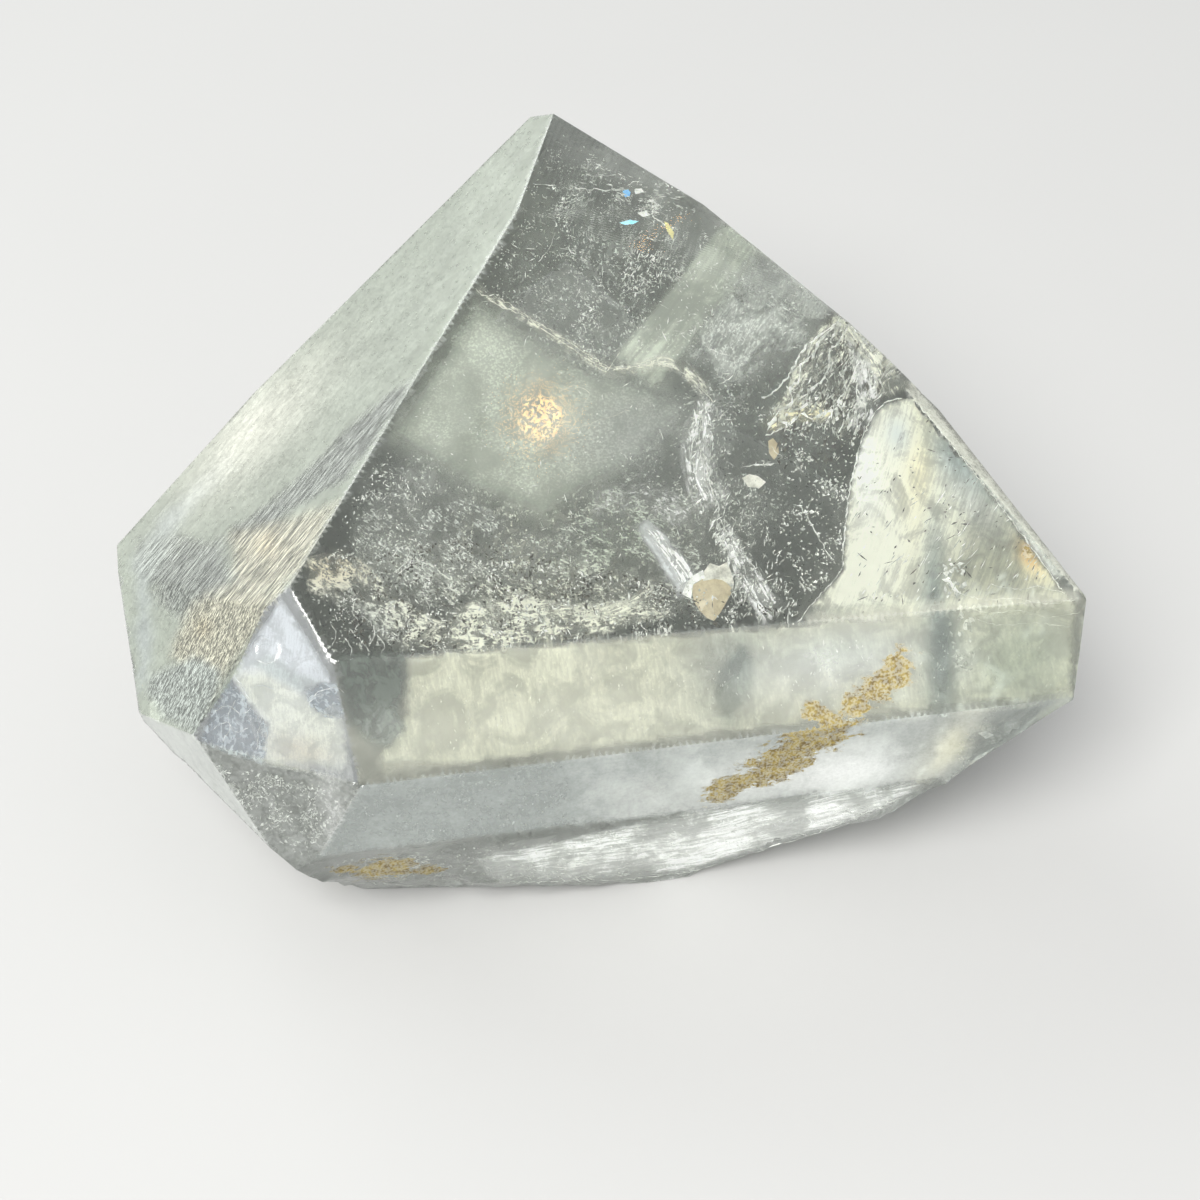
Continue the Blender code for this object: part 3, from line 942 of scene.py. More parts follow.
# Bands: long narrow veils along a line, with their width in pixels and how soft each side is.
bands = {
    "longBand": {"line": [(748, 236), (712, 282), (672, 334), (636, 380)], "width": (58, 70), "soft": (0.12, 0.8),
                 "depth": 3.0, "look": "smoothFibres", "tint": "band", "strength": 1.15},
    "wispBand": {"line": [(470, 284), (502, 304), (545, 330), (580, 353), (612, 370), (640, 368), (668, 362),
                          (692, 378), (713, 400)],
                 "width": (12, 22), "depth": 1.6, "look": "wispFibres", "tint": "cream"},
    "wispFall": {"line": [(712, 396), (700, 425), (697, 452), (704, 482), (714, 508)],
                 "width": (26, 50), "soft": (0.8, 0.9), "depth": 2.2, "look": "crackFibres", "tint": "white"},
    "crackArc": {"line": [(842, 312), (818, 340), (802, 366), (792, 396), (770, 425)], "width": (20, 30),
                 "depth": 1.5, "look": "crackFibres", "tint": "cream", "strength": 0.7},
    "crackShelf": {"line": [(764, 432), (782, 420), (806, 416), (832, 411)], "width": (22, 12),
                   "depth": 1.3, "look": "crackFibres", "tint": "yellow", "strength": 1.3},
    "crackRight": {"line": [(840, 312), (862, 350), (868, 392), (858, 434)], "width": (30, 26), "soft": (0.9, 0.6),
                   "depth": 1.1, "look": "crackFibres", "tint": "white", "strength": 0.6},
    "crackRays": {"line": [(838, 306), (866, 340), (884, 368), (896, 396)], "width": (26, 44), "soft": (0.8, 0.5),
                  "depth": 0.9, "look": "crackFibres", "tint": "cream", "strength": 0.9},
    "rightRoof": {"line": [(735, 262), (790, 300), (838, 330)], "width": (70, 60),
                  "depth": 2.4, "look": "crumple", "tint": "grey", "strength": 0.7},
    "lowerMiddle": {"line": [(590, 505), (650, 500), (690, 520)], "width": (34, 44),
                    "depth": 2.2, "look": "crumple", "tint": "white", "strength": 0.6},
    "paleShard": {"line": [(640, 520), (656, 540), (672, 562), (692, 594)], "width": (22, 42), "soft": (0.8, 0.9),
                  "depth": 1.5, "look": "smoothFibres", "tint": "lavender", "strength": 1.5},
    "shardEdge": {"line": [(646, 524), (664, 545), (680, 566), (690, 586)], "width": (12, 20), "soft": (0.5, 0.5),
                  "depth": 1.3, "look": "crackFibres", "tint": "white", "strength": 1.3},
    "fallTop": {"line": [(698, 398), (708, 425), (703, 450), (700, 475), (712, 502)], "width": (9, 14),
                "soft": (0.6, 0.6), "depth": 1.3, "look": "crackFibres", "tint": "white", "strength": 1.3},
    "fallLow": {"line": [(722, 528), (736, 552), (748, 575), (764, 602), (776, 618)], "width": (20, 38),
                "soft": (0.8, 0.8), "depth": 1.3, "look": "crackFibres", "tint": "white"},
    "shelfLine": {"line": [(655, 575), (640, 598), (600, 612), (540, 606)], "width": (16, 20),
                  "depth": 1.4, "look": "crackFibres", "tint": "cream", "strength": 0.9},
}

# Each look: fog is the even share; cloud, fibre, ridge and crumb have a size in mm, for the fibre its stretch, then
# the ramp, and last their share. curl bends the fibres, and glow scales the painted glow that lights the veil up.
veilLooks = {
    "rightCream": {"fog": 0.64, "cloud": (1.6, 0.24), "fibre": (0.14, 9.0, 0.44, 0.60, 0.30),
                   "crumb": (0.12, 0.54, 0.61, 0.16), "curl": 0.5, "glow": 1.1},
    "greenHaze": {"fog": 0.58, "cloud": (3.4, 0.10), "crumb": (0.09, 0.44, 0.66, 0.22)},
    "frost": {"fog": 0.70, "cloud": (1.0, 0.18), "fibre": (0.08, 7.0, 0.46, 0.60, 0.20),
              "crumb": (0.10, 0.50, 0.62, 0.18), "curl": 0.6},
    "veinedBlue": {"fog": 0.68, "cloud": (0.5, 0.16), "fibre": (0.22, 4.0, 0.54, 0.60, 0.8),
                   "ridge": (0.44, 0.88, 0.99, 0.6), "crumb": (0.10, 0.60, 0.64, 0.10), "curl": 1.0,
                   "tones": ((0.70, 0.72, 0.74), (3.6, 2.9, 2.6), (0.85, 1.35))},
    "shade": {"fog": 0.56, "cloud": (0.9, 0.40), "fibre": (0.16, 5.0, 0.46, 0.62, 0.25),
              "crumb": (0.12, 0.55, 0.65, 0.15)},
    "streakHaze": {"fog": 0.38, "cloud": (1.2, 0.30), "fibre": (0.10, 4.0, 0.46, 0.64, 0.25),
                   "crumb": (0.11, 0.55, 0.63, 0.45)},
    "dust": {"fog": 0.10, "cloud": (2.0, 0.10), "ridge": (0.9, 0.78, 1.05, 0.22), "crumb": (0.13, 0.60, 0.64, 0.75)},
    "crumple": {"fog": 0.0, "cloud": (1.3, 0.14), "fibre": (0.13, 3.0, 0.56, 0.61, 0.85),
                "ridge": (0.34, 0.70, 0.98, 0.45), "crumb": (0.14, 0.59, 0.63, 0.80)},
    "lumps": {"fog": 0.10, "cloud": (0.9, 0.30), "fibre": (0.13, 4.5, 0.49, 0.58, 0.65),
              "ridge": (0.36, 0.64, 0.92, 0.60), "crumb": (0.13, 0.57, 0.62, 0.55), "curl": 0.8},
    "browFog": {"fog": 0.50, "cloud": (1.7, 0.22), "fibre": (0.16, 5.0, 0.40, 0.66, 0.14),
                "crumb": (0.11, 0.57, 0.65, 0.12), "curl": 0.7},
    "wallFog": {"fog": 0.05, "cloud": (1.8, 0.65), "fibre": (0.20, 9.0, 0.45, 0.65, 0.28),
                "crumb": (0.12, 0.57, 0.63, 0.22)},
    "smoothFibres": {"fog": 0.46, "cloud": (2.6, 0.16), "fibre": (0.30, 18.0, 0.36, 0.70, 0.30),
                     "crumb": (0.11, 0.58, 0.64, 0.30)},
    "wispFibres": {"fog": 0.16, "cloud": (0.8, 0.40), "fibre": (0.12, 6.0, 0.47, 0.58, 0.70),
                   "crumb": (0.12, 0.55, 0.61, 0.40)},
    "braids": {"fog": 0.0, "cloud": (0.8, 0.20), "fibre": (0.19, 6.0, 0.51, 0.57, 1.1),
               "ridge": (0.34, 0.74, 0.94, 0.6), "crumb": (0.12, 0.58, 0.62, 0.7), "curl": 0.9, "glow": 1.4},
    "crackFibres": {"fog": 0.12, "cloud": (0.8, 0.34), "fibre": (0.17, 6.0, 0.49, 0.54, 1.1),
                    "crumb": (0.12, 0.59, 0.63, 0.60), "curl": 0.7},
    # the white fibres of the undercut have the strongest painted glow
    "whiteFibres": {"fog": 0.34, "cloud": (2.2, 0.22), "fibre": (0.07, 18.0, 0.44, 0.60, 0.60),
                    "crumb": (0.12, 0.58, 0.63, 0.25), "glow": 3.0, "curl": 0.25},
}

veilPatterns = {
    "cloud": {"detail": 4.0, "roughness": 0.62, "curl": 0.6},
    "fibre": {"detail": 3.0, "roughness": 0.6},
    "crumb": {"detail": 2.0, "roughness": 0.6, "stretch": 1.2, "curl": 0.5},
}
# painted glow: veils and flecks give off light of their own, this much times their glow
paintedGlow = 0.14       # light scattered on from veil to veil, which short light paths leave out
shallowest = 0.2


def veilMaterial(name, look):
    material, tree, shader = newMaterial(name)
    flow = attributeNode(tree, "flow", "Vector")
    size, cloudShare = look["cloud"]
    cloud = rampNode(tree, noiseNode(tree, flow, size, **veilPatterns["cloud"]), 0.38, 0.62)
    patchy = plus(tree, times(tree, cloud, 0.85), 0.15)
    share = plus(tree, times(tree, cloud, cloudShare), look["fog"])
    size, low, high, crumbShare = look["crumb"]
    crumb = rampNode(tree, noiseNode(tree, flow, size, **veilPatterns["crumb"]), low, high)
    share = plus(tree, share, times(tree, crumb, patchy, crumbShare))
    if "fibre" in look:
        size, stretch, low, high, fibreShare = look["fibre"]
        fibre = noiseNode(tree, flow, size, stretch=stretch, curl=look.get("curl", 0.25), **veilPatterns["fibre"])
        share = plus(tree, share, times(tree, rampNode(tree, fibre, low, high), patchy, fibreShare))
    if "ridge" in look:
        size, low, high, ridgeShare = look["ridge"]
        ridge = rampNode(tree, ridgeNode(tree, flow, size), low, high)
        share = plus(tree, share, times(tree, ridge, patchy, ridgeShare))
    tree.links.new(times(tree, attributeNode(tree, "veil"), share, held=True), shader.inputs["Alpha"])
    dark, pale, ramp = look.get("tones", ((0.72, 0.72, 0.70), (1.15, 1.15, 1.13), (0.30, 0.95)))
    tone = mixColors(tree, rampNode(tree, share, *ramp), dark, pale)
    tint = attributeNode(tree, "tint", "Color")
    toned = mixColors(tree, 1.0, tint, tone, blend_type="MULTIPLY", clamp_result=True)
    tree.links.new(toned, shader.inputs["Base Color"])
    # the veil glows in its own tone: painted light
    tree.links.new(toned, shader.inputs["Emission Color"])
    shader.inputs["Emission Strength"].default_value = paintedGlow * look.get("glow", 1.0)
    shader.inputs["Roughness"].default_value = 0.5
    shader.inputs["IOR"].default_value = 1.3
    return material


veilMaterials = {name: veilMaterial(name, look) for name, look in veilLooks.items()}


def alongLine(x, y, line):
    # distance run along a line of spots to its nearest place, and the signed distance from it
    best, run, found = huge, 0.0, (0.0, 0.0)
    for (x0, y0), (x1, y1) in zip(line, line[1:]):
        dx, dy = x1 - x0, y1 - y0
        length = math.hypot(dx, dy)
        t = ((x - x0) * dx + (y - y0) * dy) / (length * length)
        held = max(0.0, min(1.0, t))
        gap = math.hypot(x - x0 - held * dx, y - y0 - held * dy)
        if gap < best:
            side = (x - x0) * dy - (y - y0) * dx
            best, found = gap, (run + t * length, side / length)
        run += length
    return found


def smoothLine(line, step):
    # the same line of spots with rounded corners, in equal short steps
    ends = [line[0]] + list(line) + [line[-1]]
    fine = []
    for a, b, c, d in zip(ends, ends[1:], ends[2:], ends[3:]):
        parts = max(2, int(math.dist(b, c) / step))
        for i in range(parts):
            t = i / parts
            fine.append(tuple(
                0.5 * (2 * q + (r - p) * t + (2 * p - 5 * q + 4 * r - u) * t * t + (3 * q - p - 3 * r + u) * t ** 3)
                for p, q, r, u in zip(a, b, c, d)))
    return fine + [tuple(line[-1])]


def startSheet():
    # a thin sheet inside the stone, whose points carry how thick it is, its tint and its flow
    bm = bmesh.new()
    layers = bm.verts.layers
    return bm, (layers.float.new("veil"), layers.float_color.new("tint"), layers.float_vector.new("flow"))


def sheetPoint(bm, layers, place, veil, tint, flow):
    vert = bm.verts.new(place)
    for layer, value in zip(layers, (veil, (*tint, 1.0), Vector(flow) * mm)):
        vert[layer] = value
    return vert


def finishSheet(bm, name):
    bmesh.ops.delete(bm, geom=[v for v in bm.verts if not v.link_faces], context="VERTS")
    mesh = bpy.data.meshes.new(name)
    bm.to_mesh(mesh)
    bm.free()
    for p in mesh.polygons:
        p.use_smooth = True
    return mesh


outlineShake = {"amount": 1.6, "size": 14, "heights": (60, 160)}      # in pixels; each height gives its own noise


def shakenOutline(outline, step):
    # the outline in short steps, each a little out of line, so that no edge is straight
    shaken, plan = [], outlineShake
    for (x0, y0), (x1, y1) in zip(outline, outline[1:] + outline[:1]):
        parts = max(1, int(math.dist((x0, y0), (x1, y1)) / step))
        for i in range(parts):
            x, y = x0 + (x1 - x0) * i / parts, y0 + (y1 - y0) * i / parts
            shakes = [plan["amount"] * noise.noise(Vector((x, y, height)) / plan["size"]) for height in plan["heights"]]
            shaken.append((x + shakes[0], y + shakes[1]))
    return shaken


def veilMesh(name, plan):
    step = plan["step"]
    outline = shakenOutline(plan["outline"], step)
    xs, ys = [s[0] for s in outline], [s[1] for s in outline]
    spots = [Vector(s) for s in outline]
    for j in range(int((max(ys) - min(ys)) / step) + 2):
        for i in range(int((max(xs) - min(xs)) / step) + 2):
            x, y = min(xs) + (i + 0.5 * (j % 2)) * step, min(ys) + j * step * 0.87
            if inOutline(x, y, outline) and toOutline(x, y, outline) > 0.6 * step:
                spots.append(Vector((x, y)))
    result = geometry.delaunay_2d_cdt(spots, [], [list(range(len(outline)))], 1, 1e-4, False)
    bm, layers = startSheet()
    middle = Vector((sum(xs) / len(xs), sum(ys) / len(ys)))
    verts = []
    for x, y in result[0]:
        if onSkin((x, y))[0] is None:
            verts.append(None)
            continue
        right, down = (x - middle.x) / 100, (y - middle.y) / 100
        wave = plan["wave"] * noise.fractal(Vector((x, y, 10 * len(name))) / 70, 0.7, 2.0, 3)
        depth = plan["depth"] + plan.get("perRight", 0.0) * right + plan.get("perDown", 0.0) * down + wave
        tint, veil = tints[plan["tint"]], plan.get("strength", 1.0)
        for patch in plan.get("patches", []):
            weight = blotchWeight(x, y, patch)
            tint = mixed(tint, tints[patch["tint"]], weight)
            veil += patch.get("veil", 0.0) * weight
        veil = max(0.0, veil) * smooth(-0.5, plan["edge"], toOutline(x, y, outline))
        run, side = alongLine(x, y, plan["flow"])
        flow = (run / pixelsPerMm, side / pixelsPerMm, 3.0 * len(name))
        verts.append(sheetPoint(bm, layers, inside((x, y), max(shallowest, depth)), veil, tint, flow))
    for triangle in result[2]:
        corners = [verts[i] for i in triangle]
        if None not in corners and len(set(corners)) == 3:
            bm.faces.new(corners)
    return finishSheet(bm, name)


bandShape = {"step": 4, "columns": 10, "fadeEnds": 0.12, "wave": 0.25, "waveSize": 40}


def bandMesh(name, plan):
    line = smoothLine(plan["line"], bandShape["step"])
    bm, layers = startSheet()
    columns, fade, rows, run = bandShape["columns"], bandShape["fadeEnds"], [], 0.0
    soft = plan.get("soft", (0.9, 0.9))
    for i, (x, y) in enumerate(line):
        before, after = line[max(i - 1, 0)], line[min(i + 1, len(line) - 1)]
        along = Vector((after[0] - before[0], after[1] - before[1])).normalized()
        across = Vector((-along.y, along.x))
        run += math.dist(before, (x, y)) if i else 0.0
        t = i / (len(line) - 1)
        width = plan["width"][0] + (plan["width"][1] - plan["width"][0]) * t
        ends = smooth(0, fade, t) * smooth(0, fade, 1 - t)
        row = []
        for k in range(columns + 1):
            u = 2.0 * k / columns - 1.0
            spot = Vector((x, y)) + across * u * width / 2
            if onSkin(spot)[0] is None:
                row.append(None)
                continue
            wave = bandShape["wave"] * noise.noise(Vector((spot.x, spot.y, 5 * len(name))) / bandShape["waveSize"])
            veil = plan.get("strength", 1.0) * ends * smooth(0, soft[0], 1 - u) * smooth(0, soft[1], 1 + u)
            flow = (run / pixelsPerMm, u * width / 2 / pixelsPerMm, 3.0 * len(name))
            place = inside(spot, max(shallowest, plan["depth"] + wave))
            row.append(sheetPoint(bm, layers, place, veil, tints[plan["tint"]], flow))
        rows.append(row)
    for upper, lower in zip(rows, rows[1:]):
        for k in range(columns):
            corners = [upper[k], upper[k + 1], lower[k + 1], lower[k]]
            if None not in corners:
                bm.faces.new(corners)
    return finishSheet(bm, name)


for name, plan in veils.items():
    addPiece(name, veilMesh(name, plan), veilMaterials[plan["look"]])
for name, plan in bands.items():
    addPiece(name, bandMesh(name, plan), veilMaterials[plan["look"]])
print("veils placed:", len(veils), "sheets and", len(bands), "bands")

# Flecks: small angular flakes and slivers in fields, each field with an outline in the view. long and wide are in
# pixels; run is their direction in degrees and spread how far they stray from it. Without these they lie any way.
roofOutline = [(556, 130), (700, 212), (830, 308), (870, 350), (860, 430), (846, 500), (838, 575), (790, 612),
               (600, 634), (350, 656), (308, 590), (400, 430), (500, 262)]
flecks = {
    "topSpecks": {"outline": [(556, 140), (690, 215), (760, 290), (690, 350), (600, 372), (480, 290), (520, 215)],
                  "count": 1500, "depth": (0.4, 7.0), "long": (1.2, 3.6), "wide": (0.8, 1.7)},
    "topSlivers": {"outline": [(600, 150), (690, 215), (740, 280), (690, 340), (560, 330), (500, 262), (545, 190)],
                   "count": 420, "depth": (0.4, 5.0), "long": (4.0, 12.0), "wide": (0.8, 1.4), "run": 42,
                   "spread": 30},
    "topArcs": {"outline": [(640, 232), (678, 238), (664, 270), (640, 300), (618, 300), (622, 268)],
                "count": 110, "depth": (0.6, 2.5), "long": (3.0, 9.0), "wide": (0.8, 1.8), "run": 118, "spread": 22},
    "apexChips": {"outline": [(628, 168), (682, 180), (690, 216), (640, 214), (600, 190)],
                  "count": 90, "depth": (0.2, 1.5), "long": (3.0, 12.0), "wide": (0.8, 2.3), "run": 12, "spread": 18},
    "roofSpecks": {"outline": roofOutline,
                   "count": 3000, "depth": (0.4, 8.0), "long": (1.2, 3.4), "wide": (0.8, 1.5)},
    "roofSlivers": {"outline": roofOutline,
                    "count": 1100, "depth": (0.4, 6.0), "long": (3.0, 10.0), "wide": (0.8, 1.4), "run": 60,
                    "spread": 60},
    "wallSpecks": {"outline": [(352, 800), (700, 752), (760, 770), (700, 800), (352, 846)],
                   "count": 170, "depth": (0.1, 0.8), "long": (1.5, 5.0), "wide": (0.9, 2.2)},
    "darkZoneDots": {"outline": [(782, 428), (850, 440), (845, 560), (806, 600), (775, 520)],
                     "count": 520, "depth": (0.4, 2.0), "long": (1.4, 5.5), "wide": (1.1, 3.4)},
    "footFlecks": {"outline": [(340, 590), (400, 560), (520, 560), (700, 590), (790, 612), (700, 630), (560, 642),
                               (400, 656)],
                   "count": 1300, "depth": (0.3, 3.5), "long": (2.0, 7.0), "wide": (0.9, 2.5), "run": 60,
                   "spread": 60},
    "leftFlecks": {"outline": [(308, 590), (330, 550), (372, 446), (420, 500), (440, 600), (400, 640), (330, 655)],
                   "count": 620, "depth": (0.3, 3.5), "long": (2.0, 7.0), "wide": (0.9, 2.3), "run": 60,
                   "spread": 60},
    "crackSlivers": {"outline": [(846, 312), (900, 372), (880, 404), (862, 440), (838, 462), (800, 440), (768, 424),
                                 (778, 396), (812, 372), (828, 340)],
                     "count": 170, "depth": (0.4, 3.0), "long": (3.0, 13.0), "wide": (0.8, 1.6), "run": 108,
                     "spread": 24},
    "fallSlivers": {"outline": [(692, 396), (726, 400), (730, 456), (780, 550), (800, 616), (740, 622), (716, 540),
                                (688, 470)],
                    "count": 420, "depth": (0.8, 3.5), "long": (3.0, 14.0), "wide": (0.8, 2.0), "run": 106,
                    "spread": 30},
    "cornerSpecks": {"outline": [(215, 762), (345, 792), (306, 862), (255, 822)],
                     "count": 620, "depth": (0.15, 2.0), "long": (1.4, 7.0), "wide": (0.9, 2.3)},
    "breakSpecks": {"outline": [(326, 862), (560, 840), (680, 818), (620, 876), (440, 882), (372, 878)],
                    "count": 1000, "depth": (0.05, 0.6), "long": (2.0, 9.0), "wide": (1.0, 2.8), "run": 10,
                    "spread": 24},
    "rightScratches": {"outline": [(850, 500), (1000, 470), (1060, 580), (900, 612), (850, 600)],
                       "count": 150, "depth": (0.05, 0.4), "long": (5.0, 22.0), "wide": (0.7, 1.2), "run": 128,
                       "spread": 10},
    "rightPuffs": {"outline": [(940, 558), (964, 562), (968, 600), (976, 640), (972, 672), (956, 672), (948, 610)],
                   "count": 90, "depth": (0.1, 0.8), "long": (4.0, 11.0), "wide": (2.5, 7.0)},
    "fallBright": {"outline": [(690, 396), (714, 400), (712, 500), (744, 545), (786, 618), (752, 620), (718, 545),
                               (694, 500)],
                   "count": 150, "depth": (0.8, 2.0), "long": (4.0, 15.0), "wide": (1.6, 4.2), "run": 112,
                   "spread": 24},
    "crackBright": {"outline": [(840, 314), (860, 330), (868, 400), (846, 440), (790, 424), (772, 430), (790, 392),
                                (812, 364)],
                    "count": 110, "depth": (0.5, 1.8), "long": (5.0, 18.0), "wide": (1.6, 4.2), "run": 108,
                    "spread": 20},
    "breakSlivers": {"outline": [(540, 866), (600, 842), (700, 818), (800, 806), (905, 798), (860, 818), (770, 845),
                                 (690, 872), (560, 886)],
                     "count": 420, "depth": (0.08, 0.5), "long": (5.0, 26.0), "wide": (1.2, 3.2), "run": 10,
                     "spread": 9},
    "footShades": {"outline": [(330, 560), (460, 540), (700, 590), (790, 612), (700, 630), (560, 642), (400, 656),
                               (345, 640)],
                   "count": 700, "depth": (0.3, 1.2), "long": (2.0, 7.0), "wide": (1.0, 3.2), "run": 50, "spread": 60,
                   "tone": "dark"},
    "crackShades": {"outline": [(846, 320), (890, 372), (862, 440), (838, 462), (780, 470), (768, 424), (790, 380)],
                    "count": 220, "depth": (0.3, 1.0), "long": (3.0, 14.0), "wide": (1.0, 3.0), "run": 108,
                    "spread": 30, "tone": "dark"},
    "rightShades": {"outline": [(856, 480), (930, 410), (1040, 560), (1060, 604), (860, 612)],
                    "count": 130, "depth": (0.3, 1.0), "long": (3.0, 12.0), "wide": (0.8, 1.8), "run": 140,
                    "spread": 40, "tone": "dark"},
    "browSpecks": {"outline": [(420, 680), (760, 645), (1060, 625), (1050, 690), (700, 728), (430, 755)],
                   "count": 420, "depth": (0.1, 0.8), "long": (1.5, 6.0), "wide": (0.8, 1.4), "run": 84,
                   "spread": 20},
}


def directionAt(spot, depth, heading):
    # the way in space of a direction in the view, for something at a depth under a spot
    start = inside(spot, depth)
    ahead = Vector(spot) + Vector((math.cos(heading), math.sin(heading))) * 2.0
    if onSkin(ahead)[0] is None:
        return start, None
    return start, inside(ahead, depth) - start


def shadedMesh(name, verts, faces, shades):
    mesh = bpy.data.meshes.new(name)
    mesh.from_pydata(verts, [], faces)
    mesh.attributes.new("shade", "FLOAT", "POINT").data.foreach_set("value", shades)
    return mesh


fleckSides = ((0, 2, 4), (2, 1, 4), (1, 3, 4), (3, 0, 4), (2, 0, 5), (1, 2, 5), (3, 1, 5), (0, 3, 5))
swarm = {"size": 24, "low": -0.05, "high": 0.45, "strays": 0.14}       # flecks gather in swarms, size in pixels


def fleckMesh(name, plan, seed):
    draw = np.random.default_rng(seed)
    xs, ys = [s[0] for s in plan["outline"]], [s[1] for s in plan["outline"]]
    verts, faces, shades = [], [], []
    while len(faces) < plan["count"] * len(fleckSides):
        spot = (draw.uniform(min(xs), max(xs)), draw.uniform(min(ys), max(ys)))
        chance, depth, heading = draw.uniform(), draw.uniform(*plan["depth"]), draw.normal()
        longShare, wideShare, shade = draw.uniform() ** 3, draw.uniform() ** 2, draw.uniform()
        jitter = draw.uniform(0.6, 1.3, 6)
        if not inOutline(*spot, plan["outline"]) or onSkin(spot)[0] is None:
            continue
        crowd = smooth(swarm["low"], swarm["high"], noise.noise(Vector((*spot, 3.0 * seed)) / swarm["size"]))
        if chance > swarm["strays"] + (1.0 - swarm["strays"]) * crowd:
            continue
        heading = math.radians(plan.get("run", 0) + heading * plan.get("spread", 90))
        place, along = directionAt(spot, depth, heading)
        if along is None:
            continue
        along.normalize()
        long, wide = (
            (plan[key][0] + (plan[key][1] - plan[key][0]) * share) / pixelsPerMm * mm / 2
            for key, share in (("long", longShare), ("wide", wideShare)))
        across = along.cross(sightLine(spot)).normalized()
        thick = along.cross(across)
        first = len(verts)
        ways = (along * long, -along * long, across * wide, -across * wide, thick * wide * 0.5, -thick * wide * 0.5)
        verts.extend(place + way * j for way, j in zip(ways, jitter))
        faces.extend(tuple(first + i for i in side) for side in fleckSides)
        shades.extend([0.06 + 0.94 * shade ** 1.6] * 6)
    return shadedMesh(name, verts, faces, shades)


# The tones of flecks, threads and shards: a darker and a paler color, and how strongly they glow, a painted glow that
# makes them shine like lit glints.
inclusionTones = {
    "white": {"dark": (0.30, 0.32, 0.28), "pale": (0.98, 0.99, 0.95), "glow": 2.4},
    "cream": {"dark": (0.42, 0.42, 0.35), "pale": (0.90, 0.90, 0.80), "glow": 1.6},
    "dark": {"dark": (0.04, 0.04, 0.03), "pale": (0.16, 0.15, 0.12), "glow": 0.0},
    "slate": {"dark": (0.30, 0.33, 0.33), "pale": (0.50, 0.54, 0.55), "glow": 1.0},
    "tan": {"dark": (0.50, 0.42, 0.26), "pale": (0.72, 0.64, 0.44), "glow": 0.8},
    "blue": {"dark": (0.04, 0.22, 0.60), "pale": (0.25, 0.58, 0.90), "glow": 2.4},
    "cyan": {"dark": (0.25, 0.75, 0.85), "pale": (0.60, 0.90, 0.98), "glow": 3.0},
    "olive": {"dark": (0.50, 0.48, 0.18), "pale": (0.78, 0.74, 0.36), "glow": 1.6},
}
inclusionPattern = {"size": 0.30, "detail": 5.0, "roughness": 0.80}


def inclusionMaterial(name, look):
    material, tree, shader = newMaterial(name)
    patchy = swingNode(tree, noiseNode(tree, objectSpace(tree), **inclusionPattern), 1.6)
    uneven = plus(tree, attributeNode(tree, "shade"), patchy, held=True)
    color = mixColors(tree, uneven, look["dark"], look["pale"])
    tree.links.new(color, shader.inputs["Base Color"])
    # the inclusion glows in its own color: painted glints
    tree.links.new(color, shader.inputs["Emission Color"])
    shader.inputs["Emission Strength"].default_value = look["glow"] * paintedGlow
    shader.inputs["Roughness"].default_value = 0.3
    return material


inclusionMaterials = {name: inclusionMaterial(name + "Inclusion", look) for name, look in inclusionTones.items()}
for seed, (name, plan) in enumerate(flecks.items(), start=1):
    addPiece(name, fleckMesh(name, plan, seed), inclusionMaterials[plan.get("tone", "white")])
print("flecks placed:", sum(plan["count"] for plan in flecks.values()))

